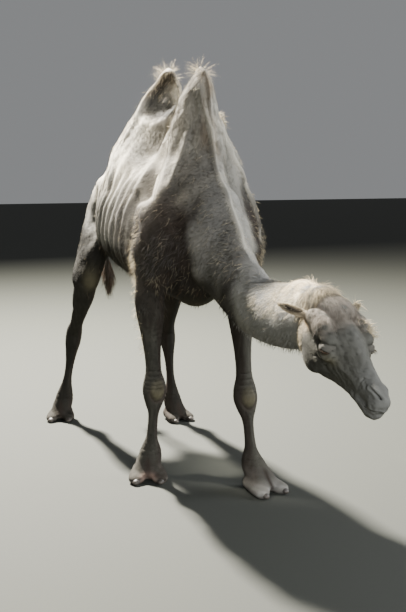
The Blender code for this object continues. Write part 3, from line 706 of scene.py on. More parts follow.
# half width on the right at the foot of the front hump, by height, at LEAN_START; it narrows backwards
LEAN_HEIGHTS = (1.4, 1.433, 1.461, 1.533, 1.668, 1.764, 1.84, 1.9)
LEAN_WIDTHS = (0.35, 0.285, 0.252, 0.232, 0.188, 0.167, 0.154, 0.14)
LEAN_START, LEAN_SLOPE, LEAN_SHARE = 0.05, 0.41, 0.85


def cave_spread(y, z):
    """Distance from the middle of the rear hump's hollow, as a share of its reach."""
    ahead, above = (y - CAVE_PLACE[0]) / CAVE_REACH[0], (z - CAVE_PLACE[1]) / CAVE_REACH[1]
    return np.sqrt(ahead**2 + above**2)


def in_cave(at):
    """1 in the middle of the rear hump's hollow, 0 at its rim."""
    return ramp(1 - cave_spread(at[:, 1], at[:, 2]), 0, 0.35) * ramp(0.085 - at[:, 0], 0, 0.05)


def slackened(at):
    """The skin with the hollow pushed in and most of what lies past the lean width taken off."""
    x, y, z = at.T.copy()
    x += CAVE_DEPTH * ramp(1 - cave_spread(y, z), 0, 0.6) * ramp(0.075 - x, 0, 0.06)
    width = np.interp(z, LEAN_HEIGHTS, LEAN_WIDTHS) - LEAN_SLOPE * (y - LEAN_START)
    place = ramp(z, 1.4, 1.46) * ramp(0.42 - y, 0, 0.14) * ramp(y, -0.3, -0.2)
    x += LEAN_SHARE * np.maximum(-x - width, 0) * place
    return np.stack([x, y, z], -1)


move_to(skin.data, slackened(places(skin.data)))
print("the hollow is", CAVE_DEPTH, "m deep")

# %% [markdown]
# ## A finer head
# The folds round eyes, nostrils and mouth are millimetres wide, finer than the grid. Splitting the
# faces there once or twice gives the sculpting below enough points, and costs far less than a finer
# grid everywhere.

# %% Split the head's faces
EYE_MIDDLE = np.array([0.225, 0.091, -0.054])
EYE_RADIUS = 0.0215
NOSTRIL = np.array([
    (0.447, 0.038, -0.094),
    (0.47, 0.034, -0.097),
    (0.492, 0.023, -0.105),
    (0.508, 0.012, -0.115),
])
MOUTH = np.array([
    (0.368, 0.046, -0.158),
    (0.4, 0.043, -0.166),
    (0.44, 0.04, -0.17),
    (0.475, 0.034, -0.169),
    (0.505, 0.024, -0.165),
    (0.522, 0.0, -0.16),
])
NAPE_MARGIN = 0.04
EYE_ROUND, NOSTRIL_ROUND, MOUTH_ROUND = 0.045, 0.014, 0.012  # how far the finest faces reach


def split_faces(thing, inside, rounds=3):
    """Splits the faces whose middle is inside a test, then eases the points there."""
    shape = bmesh.new()
    shape.from_mesh(thing.data)
    shape.verts.ensure_lookup_table()
    middles = np.array([face.calc_center_median() for face in shape.faces])
    chosen = inside(middles)
    edges = {edge for face, keep in zip(shape.faces, chosen) if keep for edge in face.edges}
    bmesh.ops.subdivide_edges(shape, edges=list(edges), cuts=1, use_grid_fill=True)
    middles = np.array([vertex.co for vertex in shape.verts])
    eased = [vertex for vertex, keep in zip(shape.verts, inside(middles)) if keep]
    axes = {f"use_axis_{axis}": True for axis in "xyz"}
    for _ in range(rounds):
        bmesh.ops.smooth_vert(shape, verts=eased, factor=SOFT_FACTOR, **axes)
    shape.to_mesh(thing.data)
    shape.free()


def on_head(at):
    """Everything ahead of the nape."""
    return at @ (-HEAD_TURN[:, 0]) < -(HEAD_PLACE @ HEAD_TURN[:, 0]) + NAPE_MARGIN


def fine_places(at):
    """Eyes, nostrils and mouth, where the folds are finest."""
    near = np.zeros(len(at), bool)
    here = to_head(at)
    for side in SIDES.values():
        near |= np.linalg.norm(here - mirrored(EYE_MIDDLE, side), axis=1) < EYE_ROUND
        near |= near_line(here, NOSTRIL * (1, side, 1))[0] < NOSTRIL_ROUND
        near |= near_line(here, MOUTH * (1, side, 1))[0] < MOUTH_ROUND
    return near


split_faces(skin, on_head)
split_faces(skin, fine_places, rounds=2)
print("with a finer head:", len(skin.data.vertices), "points")

# %% [markdown]
# ## What shows through a thin coat
# With the wool gone, bones and slack skin draw the animal: the ribs, the hip bones, the knobs of
# the spine, the edge of the shoulder blade, the pads it kneels on, and the folds of the emptied
# humps. Each is a named bump or groove with a real size, laid along the direction in which the skin
# faces.

# %% Ribs, hips and spine
RIB_SPACING, RIB_HEIGHT, RIB_SLANT = 0.078, 0.011, 0.3
KNOB_SPACING, KNOB_HEIGHT = 0.062, 0.008
HIP_SHAPES = (  # height, centre on the left side, radii
    (0.016, (0.185, 1.13, 1.52), (0.05, 0.07, 0.045)),
    (-0.03, (0.26, 1.12, 1.34), (0.1, 0.085, 0.14)),
    (-0.012, (0.1, 1.3, 1.56), (0.05, 0.09, 0.05)),
    (0.01, (0.1, 1.47, 1.46), (0.035, 0.04, 0.04)),
)
CHEST_PAD = (0, 0.1, 0.925)


def laid(tree, line, steps=14):
    """A bent line through a few points, with every point moved onto the skin."""
    line = np.asarray(line, float)
    passed = np.concatenate([[0.0], np.cumsum(np.linalg.norm(np.diff(line, axis=0), axis=1))])
    want = np.linspace(0, passed[-1], steps)
    points = np.stack([np.interp(want, passed, line[:, axis]) for axis in range(3)], -1)
    return np.array([tree.find_nearest(Vector(point))[0] for point in points])


def ribs(at):
    """Rounded ridges that slant as they go down over the side of the barrel: cos^2 along the body."""
    x, y, z = at.T
    phase = (y + RIB_SLANT * (z - 1.35)) / RIB_SPACING
    wave = np.cos(math.pi * phase) ** 2 - 0.5
    place = ramp(y, 0.36, 0.5) * ramp(1.1 - y, 0, 0.1) * ramp(np.abs(x), 0.12, 0.2)
    height = ramp(z, 1.02, 1.16) * ramp(1.66 - z, 0, 0.14)
    return RIB_HEIGHT * wave * place * height


def torso_bones(at, out):
    """Hip bones, knobs of the spine, the hollow behind the ribs and the chest pad."""
    rise = np.zeros(len(at))
    knobs = np.cos(math.pi * at[:, 1] / KNOB_SPACING) ** 2
    spine = bell(at[:, 0], 0.022) * ramp(at[:, 1], 1.02, 1.12) * ramp(1.52 - at[:, 1], 0, 0.1)
    rise += KNOB_HEIGHT * knobs * spine * ramp(out[:, 2], 0.3, 0.6)
    for side in SIDES.values():
        for height, centre, radii in HIP_SHAPES:
            rise += height * blob(at, np.array(centre) * (side, 1, 1), radii)
    return rise + 0.02 * blob(at, CHEST_PAD, (0.08, 0.1, 0.05))


print("ribs every", RIB_SPACING, "m")

# %% [markdown]
# ## Folds of slack skin
# From the tip of the front hump two sharp folds run down: one along the middle to the neck, one
# along the left edge. Each shoulder blade shows as a ridge with a hollow behind it. A line of a
# few points is first laid onto the skin.

# %% Shoulder and hump folds
CREST = [
    (-0.022, -0.007, 2.035),
    (-0.026, -0.05, 1.886),
    (-0.007, -0.096, 1.776),
    (-0.011, -0.162, 1.61),
    (0.003, -0.227, 1.493),
    (0.005, -0.381, 1.31),
    (0.013, -0.438, 1.231),
]
LEFT_EDGE = [
    (0.029, -0.058, 1.839),
    (0.095, -0.056, 1.721),
    (0.11, -0.114, 1.643),
    (0.18, -0.053, 1.561),
    (0.225, -0.054, 1.458),
    (0.245, -0.114, 1.262),
]
VALLEY = [(0.04, -0.08, 1.76), (0.06, -0.14, 1.62), (0.1, -0.17, 1.48), (0.12, -0.22, 1.34)]
RIGHT_EDGE = [(-0.1, 0.02, 1.8), (-0.165, 0.02, 1.62), (-0.2, 0.02, 1.48)]
HUMP_FOLDS = (  # line, height, width
    (CREST, 0.017, 0.012),
    (LEFT_EDGE, 0.016, 0.012),
    (VALLEY, -0.02, 0.03),
    (RIGHT_EDGE, 0.008, 0.02),
)
SHOULDER_FOLDS = (  # height, width and points (x on the left, y from the shoulder's shift, z)
    (0.01, 0.022, ((0.13, 0.24, 1.6), (0.2, 0.12, 1.4), (0.24, -0.01, 1.18))),
    (-0.02, 0.04, ((0.22, 0.36, 1.52), (0.26, 0.34, 1.3), (0.26, 0.3, 1.08))),
)


def shoulder_folds(at, tree):
    """The ridge of each shoulder blade, the hollow behind it, and the front hump's folds."""
    rise = np.zeros(len(at))
    for leg in ("fore_left", "fore_right"):
        side = SIDES[leg.split("_")[1]]
        elbow = joint_points(leg)[0]
        shift = elbow[1] - 0.11
        for height, width, points in SHOULDER_FOLDS:
            line = [(side * x, y + shift, z) for x, y, z in points]
            rise += fold(at, laid(tree, line), height, width)
        arm = [(side * 0.23, 0.3 + shift, 1.0), elbow + (0, 0.09, 0.02)]
        rise += fold(at, laid(tree, arm), 0.01, 0.03)
    for line, height, width in HUMP_FOLDS:
        rise += fold(at, laid(tree, line), height, width)
    return rise


def hump_folds(at, out):
    """Upright folds on the front hump, faint ones down its sides, and the rear hump's slack front."""
    x, y, z = at.T
    front = ramp(-out[:, 1], 0.1, 0.5) * ramp(z, 1.55, 1.72) * ramp(2.06 - z, 0, 0.12)
    front *= ramp(0.25 - y, 0, 0.1)
    wander = 0.35 * noise(at, 0.3, 11)
    rise = 0.0035 * front * np.cos(2 * math.pi * x / 0.052 + 2.2 * wander)
    sides = ramp(z, 1.6, 1.75) * ramp(2.1 - z, 0, 0.1)
    drape = np.cos(2 * math.pi * (y + 0.15 * (z - 1.8)) / 0.085 + 2.5 * noise(at, 0.35, 12))
    rise += 0.0016 * sides * drape * ramp(np.abs(out[:, 0]), 0.3, 0.7)
    near, _ = near_line(at, [(0.0, 0.47, 1.9), (-0.05, 0.5, 1.8), (-0.1, 0.56, 1.72)])
    rise += 0.0012 * bell(near, 0.1) * np.cos(2 * math.pi * y / 0.06 + 2 * noise(at, 0.3, 13))
    return rise * (1 - 0.7 * in_cave(at))


def looseness(at):
    """Slow unevenness of slack skin: more on humps, chest and neck, least on lower legs and face."""
    amount = 0.004 * ramp(at[:, 2], 0.85, 1.1) * ramp(at[:, 1], -1.1, -0.9)
    amount += 0.002 * ramp(at[:, 2], 1.65, 1.85)
    amount *= 1 - 0.8 * in_cave(at)
    return amount * noise(at, 0.16, 21) + 0.15 * amount * noise(at, 0.05, 22)


print("folds on the shoulders and humps:", 2 * len(SHOULDER_FOLDS) + len(HUMP_FOLDS))

# %% [markdown]
# ## Knots of the legs
# A kneeling camel rests on bald pads, so each knee carries a thick one, with wrinkles above it.
# Tendons run down the forearm and the cannon bone, the heel bone stands out behind the hock, and
# the skin creases over the foot.

# %% Pads, tendons and creases
AHEAD = np.array([0, -1.0, 0])
PAD_RADII = (0.042, 0.05, 0.056)
WRINKLE_LIFTS, WRINKLE_DEPTH = (0.018, 0.038, 0.06, 0.084, 0.112), 0.0045
TENDON_PLACES, TENDON_HEIGHT = (-0.03, 0.004, 0.034), 0.0045


def level_distance(at, centre):
    """Distance of each point to an upright axis through a centre."""
    return np.linalg.norm((at - centre)[:, :2], axis=1)


def fore_knots(at, out, top, middle):
    """The kneeling pad, the wrinkles above it, three tendons, and the knobs of elbow and knee."""
    pad = middle + 0.062 * AHEAD + (0, 0, 0.008)
    gap = np.sqrt((((at - pad) / PAD_RADII) ** 2).sum(1))
    edge = 0.004 * bell(gap - 1.2, 0.16) * ramp(pad[2] - at[:, 2], -0.01, 0.03)
    yield 0.009 * ramp(1.15 - gap, 0, 0.7) - edge
    for lift in WRINKLE_LIFTS:
        near = bell(at[:, 2] - middle[2] - lift - 0.02 * at[:, 0], 0.005) * ramp(-out[:, 1], 0.1, 0.6)
        yield -WRINKLE_DEPTH * near * bell(level_distance(at, middle), 0.12)
    for across in TENDON_PLACES:
        line = [top + (across, -0.085, -0.06), middle + (across * 0.8, -0.052, 0.15)]
        yield fold(at, line, TENDON_HEIGHT, 0.011)
    yield 0.012 * blob(at, top + (0, 0.085, 0.02), (0.04, 0.035, 0.05))
    yield 0.006 * blob(at, middle + (0, 0.055, 0.0), (0.03, 0.03, 0.04))


def hind_knots(at, top, middle, side):
    """The heel bone, the kneecap, the groove between shin and tendon, and the tendon itself."""
    yield 0.016 * blob(at, middle + (0, 0.06, 0.045), (0.026, 0.032, 0.05))
    yield 0.009 * blob(at, top + (0, -0.08, 0.02), (0.05, 0.04, 0.07))
    yield fold(at, [top + (side * 0.05, 0.03, -0.1), middle + (side * 0.035, 0.035, 0.08)], -0.007, 0.014)
    yield fold(at, [top + (0, 0.085, -0.06), middle + (0, 0.052, 0.06)], 0.008, 0.012)


def cannon_knots(at, middle, fetlock):
    """Two grooves along the cannon bone, its front edge, and the knob and creases of its lower joint."""
    for side in (-1, 1):
        line = [middle + (side * 0.032, 0.01, -0.09), fetlock + (side * 0.034, 0.012, 0.06)]
        yield fold(at, line, -0.0045, 0.008)
    yield fold(at, [middle + (0, -0.036, -0.08), fetlock + (0, -0.034, 0.06)], 0.003, 0.01)
    yield 0.008 * blob(at, fetlock + (0, 0.045, -0.01), (0.032, 0.028, 0.03))
    for lift in (-0.018, 0.01):
        crease = bell(at[:, 2] - fetlock[2] - lift, 0.004)
        yield -0.0025 * crease * bell(level_distance(at, fetlock), 0.1)


def leg_knots(at, out):
    """Everything that stands out or in on the four legs."""
    rise = np.zeros(len(at))
    for leg in LEGS:
        top, middle, fetlock, _ = joint_points(leg)
        if leg.startswith("fore"):
            upper = fore_knots(at, out, top, middle)
        else:
            upper = hind_knots(at, top, middle, SIDES[leg.split("_")[1]])
        for knots in (upper, cannon_knots(at, middle, fetlock)):
            for knot in knots:
                rise += knot
    return rise


print("knots, tendons and creases on", len(LEGS), "legs")

# %% [markdown]
# ## The face
# The head gets the most care. A camel closes its nostrils to slits, its split upper lip overhangs
# the lower, its eye sits in a bony ring under a heavy upper lid, and a hollow lies behind that ring
# over the jaw joint.

# %% Folds of the face and the cups of the ears
CHEEK_BONE = [(0.17, 0.1, -0.085), (0.24, 0.085, -0.094), (0.31, 0.058, -0.1), (0.36, 0.046, -0.104)]
# on each side: a fold has a height, a width and points, a blob has a height, radii and a centre
FACE_RELIEF = (
    # the cheek bone, which runs forwards under the eye, and the hollows round it
    ("fold", 0.004, 0.01, CHEEK_BONE),
    ("blob", -0.009, (0.04, 0.02, 0.022), (0.3, 0.062, -0.06)),
    ("blob", -0.004, (0.034, 0.03, 0.03), (0.14, 0.098, -0.035)),
    ("blob", -0.006, (0.036, 0.03, 0.018), (0.196, 0.11, -0.014)),
    # the jaw muscle and the groove before it
    ("fold", 0.004, 0.014, [(0.15, 0.09, -0.11), (0.175, 0.08, -0.16), (0.15, 0.07, -0.195)]),
    ("fold", -0.005, 0.012, [(0.205, 0.075, -0.12), (0.225, 0.066, -0.15), (0.215, 0.06, -0.18)]),
    # the ring of bone over the eye, the bag below it and the groove that runs forwards from its corner
    ("fold", 0.0025, 0.014, [(0.17, 0.112, -0.03), (0.205, 0.112, -0.016), (0.245, 0.094, -0.026)]),
    ("fold", 0.0035, 0.008, [(0.19, 0.11, -0.08), (0.222, 0.104, -0.084), (0.252, 0.088, -0.076)]),
    ("fold", -0.004, 0.006, [(0.24, 0.092, -0.062), (0.262, 0.08, -0.07), (0.285, 0.068, -0.076)]),
)
MUZZLE_WRINKLES, WRINKLE = (0.402, 0.416, 0.43), (-0.0022, 0.004)
LIP_CLEFT = [(0.524, 0, -0.112), (0.53, 0, -0.135), (0.526, 0, -0.158)]
CHIN = (0.455, 0, -0.205)


def ear_face(at, side):
    """Places in an ear's own frame: share of its length, share of its width, and its open direction."""
    root, tip = mirrored(EAR_ROOT, side), mirrored(EAR_TIP, side)
    along = (tip - root) / np.linalg.norm(tip - root)
    across = EAR_SIDEWAYS - along * (along @ EAR_SIDEWAYS)
    across /= np.linalg.norm(across)
    opening = -np.cross(along, across) * side
    share = (at - root) @ along / np.linalg.norm(tip - root)
    wide = (at - root - share[:, None] * (tip - root)) @ across
    return share, wide, opening


def ear_mask(at, side):
    """1 on an ear and 0 elsewhere, fading in over its root."""
    gap, share = near_line(at, [mirrored(EAR_ROOT, side), mirrored(EAR_TIP, side)])
    return ramp(0.045 - gap, 0, 0.008) * ramp(share, 0.03, 0.2)


def slits(at, side):
    """The slit of a nostril and its rim, and the line of the mouth and its lips."""
    gap, share = near_line(at, NOSTRIL * (1, side, 1))
    yield -0.01 * bell(gap, 0.0034) * (ramp(share, 0, 0.1) * ramp(1 - share, 0, 0.05))
    yield 0.0035 * bell(gap - 0.01, 0.005) * ramp(at[:, 2], -0.125, -0.1)
    gap, share = near_line(at, MOUTH * (1, side, 1))
    below = at[:, 2] < np.interp(at[:, 0], MOUTH[:, 0], MOUTH[:, 2])
    yield -0.0075 * bell(gap, 0.0028) * ramp(share, 0, 0.08)
    yield 0.003 * bell(gap - 0.009, 0.005) * ramp(share, 0.1, 0.4) * np.where(below, 0.6, 1.0)


def face_folds(at, out):
    """Everything on the skull, in its own frame: at and out are already there."""
    rise = np.zeros(len(at))
    for side in SIDES.values():
        for height in slits(at, side):
            rise += height
        for kind, height, size, place in FACE_RELIEF:
            if kind == "fold":
                rise += fold(at, np.array(place) * (1, side, 1), height, size)
            else:
                rise += height * blob(at, mirrored(place, side), size)
        for start in MUZZLE_WRINKLES:
            line = [(start, 0.03, -0.075), (start - 0.004, 0.04, -0.105), (start - 0.012, 0.042, -0.135)]
            rise += fold(at, np.array(line) * (1, side, 1), *WRINKLE)
        share, wide, opening = ear_face(at, side)
        cup = ramp(share, 0.1, 0.35) * ramp(1.0 - share, 0.02, 0.25) * bell(wide, 0.015)
        rise -= 0.011 * cup * ramp(out @ opening, 0.1, 0.6)
    rise -= fold(at, LIP_CLEFT, 0.004, 0.003)
    rise += 0.004 * blob(at, CHIN, (0.03, 0.026, 0.014))
    rise += 0.0012 * noise(at, 0.028, 31) * ramp(at[:, 0], 0.05, 0.2)
    return rise


EYE_WAY = (0.46, 0.88, 0.02)  # outwards and a little forwards
SOCKET_FULL, SOCKET_END = 48, 74  # degrees from the eye's axis
SOCKET_GAP, SOCKET_REACH = 0.004, 0.06
BROW_FACTOR = 1.45  # above the eye the socket ends sooner, under the brow


def eye_axis(side):
    """The way an eye looks."""
    way = mirrored(EYE_WAY, side)
    return way / np.linalg.norm(way)


def socket(at, side):
    """Places round an eye pulled in behind the eyeball: fully near its axis, and less with the angle."""
    middle = mirrored(EYE_MIDDLE, side)
    arm = at - middle
    reach = np.linalg.norm(arm, axis=1)
    level = np.ones(len(arm))
    tall = arm * np.stack([level, level, np.where(arm[:, 2] > 0, BROW_FACTOR, 1.0)], -1)
    straight = tall @ eye_axis(side) / np.maximum(np.linalg.norm(tall, axis=1), 1e-6)
    angle = np.degrees(np.arccos(np.clip(straight, -1, 1)))
    near = (1 - ramp(angle, SOCKET_FULL, SOCKET_END)) * (reach < SOCKET_REACH)
    inner = np.minimum(reach, EYE_RADIUS - SOCKET_GAP)
    return middle + arm * ((reach + (inner - reach) * near) / np.maximum(reach, 1e-6))[:, None]


print("folds and hollows on each side of the face:", len(FACE_RELIEF))

# %% [markdown]
# ## Room for the coat
# The solids give the outline of the animal in its coat, so the bare skin lies inside them by the
# coat's depth. Bones, folds and that depth are added up and laid along the way the skin faces, all
# in one move.

# %% Shape the skin
BODY_DEPTH, HUMP_EXTRA = 0.006, 0.012
LEG_DEPTH, FOOT_DEPTH, NECK_DEPTH, FACE_DEPTH = 0.003, 0.0018, 0.0045, 0.002
GROUND_GAP = 0.0004
SKIN_LIMIT = 192_000


def coat_depth(at):
    """How far the skin lies inside the outline that the coat gives."""
    depth = BODY_DEPTH + HUMP_EXTRA * ramp(at[:, 2], 1.95, 2.1)
    depth += (LEG_DEPTH - depth) * ramp(0.95 - at[:, 2], 0, 0.2)
    depth += (FOOT_DEPTH - depth) * ramp(0.14 - at[:, 2], 0, 0.04)
    depth += (NECK_DEPTH - depth) * ramp(-at[:, 1], 0.5, 0.8) * ramp(at[:, 2], 0.6, 0.7)
    depth += (FACE_DEPTH - depth) * ramp(to_head(at)[:, 0], 0.12, 0.26) * ramp(-at[:, 1], 1.0, 1.1)
    return depth


def surface_tree(mesh, at):
    """A search tree over the faces of a mesh, with its vertices at given places."""
    return BVHTree.FromPolygons([Vector(p) for p in at], [tuple(face.vertices) for face in mesh.polygons])


at, out = places(skin.data), directions(skin.data)
rise = -coat_depth(at) + ribs(at) + torso_bones(at, out) + shoulder_folds(at, surface_tree(skin.data, at))
rise += hump_folds(at, out) + leg_knots(at, out) + looseness(at)
at += out * rise[:, None]
move_to(skin.data, at)
out = directions(skin.data)
mine = on_head(at)
here = to_head(at[mine])
here += (out[mine] @ HEAD_TURN) * face_folds(here, out[mine] @ HEAD_TURN)[:, None]
for side in SIDES.values():
    here = socket(here, side)
at[mine] = from_head(here)
at[:, 2] = np.maximum(at[:, 2], GROUND_GAP)
move_to(skin.data, at)

triangles = sum(len(face.vertices) - 2 for face in skin.data.polygons)
thin = skin.modifiers.new("thin", "DECIMATE")
thin.ratio = min(1.0, SKIN_LIMIT / triangles)
skin.modifiers.new("flat", "TRIANGULATE")
settle(skin)
skin.data.shade_smooth()
print("skin:", triangles, "triangles thinned to", len(skin.data.polygons))

# %% [markdown]
# ## Colour from place
# The summer coat is pale, grey on the neck and brown-black on the legs. Many of the washes are
# painted shade: on the front, the lower flank, the left shoulder, the hollow of the rear hump,
# the insides and undersides, and in slits and creases. A pale one is a painted highlight along
# the ridges of the front hump. Skin and coat must agree, so both ask one function for the colour of a
# place. It starts with
# the pale flank and lays one wash over another, each with a soft edge, as a painter would.

# %% Markings
PALE, STRAW, TAN = np.array([(0.62, 0.575, 0.47), (0.56, 0.47, 0.31), (0.36, 0.26, 0.15)])
GREY, SHADED_BLUE_GREY, MOP = np.array([(0.255, 0.25, 0.228), (0.225, 0.224, 0.212), (0.205, 0.178, 0.145)])
BROWN, DARK, BLACK = np.array([(0.1, 0.068, 0.045), (0.03, 0.023, 0.018), (0.006, 0.005, 0.004)])
LEG, HIND_LEG, FOOT = np.array([(0.037, 0.035, 0.028), (0.021, 0.0195, 0.0155), (0.27, 0.245, 0.21)])
FACE, MUZZLE, LID = np.array([(0.085, 0.083, 0.07), (0.125, 0.124, 0.112), (0.085, 0.08, 0.067)])
OLIVE, PINK = np.array([(0.15, 0.132, 0.08), (0.42, 0.27, 0.21)])
SKIN_SHADE = 0.84  # skin between the hairs is a little darker than the hairs


def wash(colour, amount, target):
    """Moves colours towards a target by an amount from 0 to 1."""
    return colour + np.clip(amount, 0, 1)[:, None] * (target - colour)


class Paint:
    """Colours over which washes are laid, one after another."""

    def __init__(self, colour, count):
        self.colours = np.tile(colour, (count, 1))

    def lay(self, amount, target):
        self.colours = wash(self.colours, amount, target)


def body_washes(lay, at, out):
    """Grey and dark on front and neck, the pale nape, the rags on the humps, and the chest and belly;
    much of the grey and dark is painted shade.
    """
    x, y, z = at.T
    # painted shade: surfaces that face forwards, on the front hump, chest and shoulders, are washed grey
    # and, lower down, dark, as the key behind leaves them in shade
    ahead = ramp(-out[:, 1] + 0.25 * noise(at, 0.25, 40), 0.05, 0.75)
    low_neck = ramp(-y, 0.02, 0.3)
    lay(0.7 * ahead * ramp(y, -0.6, -0.3), GREY)
    lay(0.75 * ahead * ramp(1.8 - z, 0, 0.34) * (1 - low_neck), LEG * 0.8)
    # the root of the neck grey: partly the coat's own grey, partly painted shade
    lay(0.8 * low_neck, GREY)
    # painted shade: the flank darker towards the bottom, where the high key hardly reaches
    lay(0.88 * ramp(1.69 - z, 0, 0.38) * ramp(y, 0.22, 0.4), GREY * 0.34)
    # the neck blue-grey from its middle forwards: partly its own grey, partly painted shade, blue as
    # under an open sky
    lay(ramp(-y, 0.38, 0.75), SHADED_BLUE_GREY * 1.2)
    lay(0.3 * ramp(noise(at, 0.22, 41), 0.1, 0.9) * ramp(1.9 - z, 0, 0.2), GREY)
    nape = ramp(out[:, 2], 0.15, 0.75) * ramp(-y, 0.72, 0.95)
    lay(0.85 * nape * ramp(0.9 + noise(at, 0.07, 39), 0, 0.7), STRAW * 1.05)
    # brown rags at the hump tips and a darker strip down the front of the front hump
    rags = 0.55 * ramp(z, 1.94, 2.05) * ramp(0.1 + noise(at, 0.09, 42), 0, 0.6)
    lay(rags * ramp(-out[:, 1], -0.2, 0.4), TAN * 0.6)
    strip = bell(x + 0.012 + 0.02 * noise(at, 0.2, 43), 0.035) * ramp(-out[:, 1], 0.2, 0.6)
    lay(0.65 * strip * ramp(z, 1.6, 1.75) * ramp(0.3 - y, 0, 0.1), TAN * 0.6)
    # painted shade on the left shoulder and arm, which face away from the key
    left_arm = ramp(x, 0.12, 0.2) * ramp(1.6 - z, 0, 0.15) * ramp(0.35 - y, 0, 0.1) * (1 - low_neck)
    lay(0.9 * left_arm, GREY * 0.22)
    # painted shade in the rear hump's hollow and forwards from it: dark grey, and dark brown near the top
    forward = np.sqrt(((y - 0.52) / 0.15) ** 2 + ((z - 2.0) / 0.16) ** 2)
    shade = ramp(1 - forward, 0, 0.3) * ramp(0.085 - x, 0, 0.05) * ramp(y, 0.38, 0.44)
    cave_shade = np.maximum(in_cave(at), shade)
    lay(0.95 * cave_shade, GREY * 0.13)
    lay(0.8 * cave_shade * ramp(z, 2.0, 2.09), BROWN * 0.45)
    # chest, belly and throat: the chest is dark, partly its own colour and partly painted shade on the
    # shaded front quarter
    rough = 0.03 * noise(at, 0.12, 44)
    chest = ramp(1.54 - z + rough, 0, 0.2) * ramp(0.4 - y, 0, 0.14)
    chest = chest * ramp(y + 0.175 + 0.3 * rough, -0.02, 0.03)
    lay(chest, DARK * 0.9)
    lay(0.8 * chest * ramp(np.abs(x), 0.22, 0.28), LEG * 0.8)
    # painted shade: the undersides of the belly and the neck darker
    belly = ramp(-out[:, 2], 0.25, 0.75) * ramp(1.25 - z, 0, 0.15) * ramp(y, -0.1, 0.2)
    lay(0.85 * belly, BROWN * 0.8)
    lay(0.25 * (ramp(-out[:, 2], 0.1, 0.8) * low_neck * ramp(y, -1.05, -0.9)), BROWN)


def leg_washes(lay, at, out):
    """Legs dark from elbow and stifle down, partly as painted shade, and darker inside as painted shade,
    with paler streaks and olive bald pads.
    """
    x, y, z = at.T
    fore = ramp(0.6 - y, -0.1, 0.1) * ramp(z, 0, 0.1) * ramp(y, -0.55, -0.45)
    hind = ramp(y, 0.5, 0.7) * ramp(1.57 - y, 0, 0.04)
    inner = ramp(-out[:, 0] * np.sign(x), 0, 0.6)
    # the legs' own dark brown from elbow and stifle down, made darker still as painted shade
    lay(fore * ramp(1.18 - z + 0.05 * noise(at, 0.15, 45), 0, 0.25), LEG)
    thigh = ramp(1.34 - z + 0.03 * noise(at, 0.15, 46) - 0.1 * ramp(1.2 - y, -0.1, 0.2), 0, 0.1)
    lay(hind * thigh, HIND_LEG)
    # painted shade on the right side of the fore quarter, from the forearm up; painted light on the left
    # fore leg below the elbow
    lay(0.6 * fore * (x < 0) * ramp(z, 0.7, 0.85), DARK * 0.7)
    lay(0.7 * fore * (x > 0) * ramp(1.05 - z, 0, 0.15) * ramp(z, 0.08, 0.14), LEG * 1.9)
    # painted shade on the insides of the legs, between them
    lay(0.75 * (fore + hind) * inner * ramp(1.15 - z, 0, 0.2), DARK)
    streak = ramp(noise(at * (1, 1, 0.12), 0.035, 47), 0, 0.8)
    lay(0.3 * streak * fore * ramp(0.95 - z, 0, 0.1), LEG * 2.2)
    lay(0.25 * streak * hind * ramp(0.95 - z, 0, 0.1), HIND_LEG * 2.4)
    for leg in LEGS:
        top, middle, _, heel = joint_points(leg)
        if leg.startswith("fore"):
            pad = np.sqrt((((at - middle - (0, -0.055, 0.008)) / (0.04, 0.05, 0.055)) ** 2).sum(1))
            lower = ramp(middle[2] + 0.01 - z, -0.02, 0.03)
            # painted shade in the groove under the edge of the kneeling pad
            lay(0.6 * bell(pad - 1.2, 0.2) * lower, DARK * 1.8)
            lay(0.75 * ramp(1.25 - pad, 0, 0.6) * (0.45 + 0.55 * lower), OLIVE * 0.85)
            lay(0.6 * blob(at, top + (0, 0.085, 0.02), (0.04, 0.035, 0.05)), OLIVE)
        else:
            lay(0.6 * blob(at, top + (0, -0.095, 0.02), (0.05, 0.045, 0.07)), OLIVE)
        foot_washes(lay, at, leg, heel)


def foot_washes(lay, at, leg, heel):
    """One foot: paler at the left fore, dark down its middle, with painted shade in the cleft between the
    toes, and a dusty rim.
    """
    z = at[:, 2]
    turn = math.radians(TOE_OUT[leg] - 90)
    unturn = np.array([[math.cos(turn), -math.sin(turn)], [math.sin(turn), math.cos(turn)]])
    flat = (at - heel)[:, :2] @ unturn
    near = (np.linalg.norm(flat, axis=1) < 0.22) * ramp(0.15 - z, 0, 0.05)
    pale, dark = (0.45, 0.0) if leg == "fore_left" else (0.08, 0.55)
    lay(near * pale * ramp(0.7 + noise(at, 0.05, 48), 0, 0.6), FOOT * 0.33)
    lay(near * dark * ramp(0.13 - z, 0, 0.05) * bell(flat[:, 1], 0.035), DARK)
    # painted shade in the cleft between the toes
    lay(near * (bell(flat[:, 1], 0.012) * ramp(flat[:, 0], -0.02, 0.05)), DARK)
    rim = ramp(0.04 - z, 0, 0.02) * near
    lay(0.5 * rim * ramp(0.3 + noise(at, 0.03, 49), 0, 0.5), FOOT * 0.6)
    if leg == "fore_right":
        lay(0.35 * near * ramp(flat[:, 0], 0.06, 0.1) * bell(np.abs(flat[:, 1]) - 0.02, 0.02), PINK)


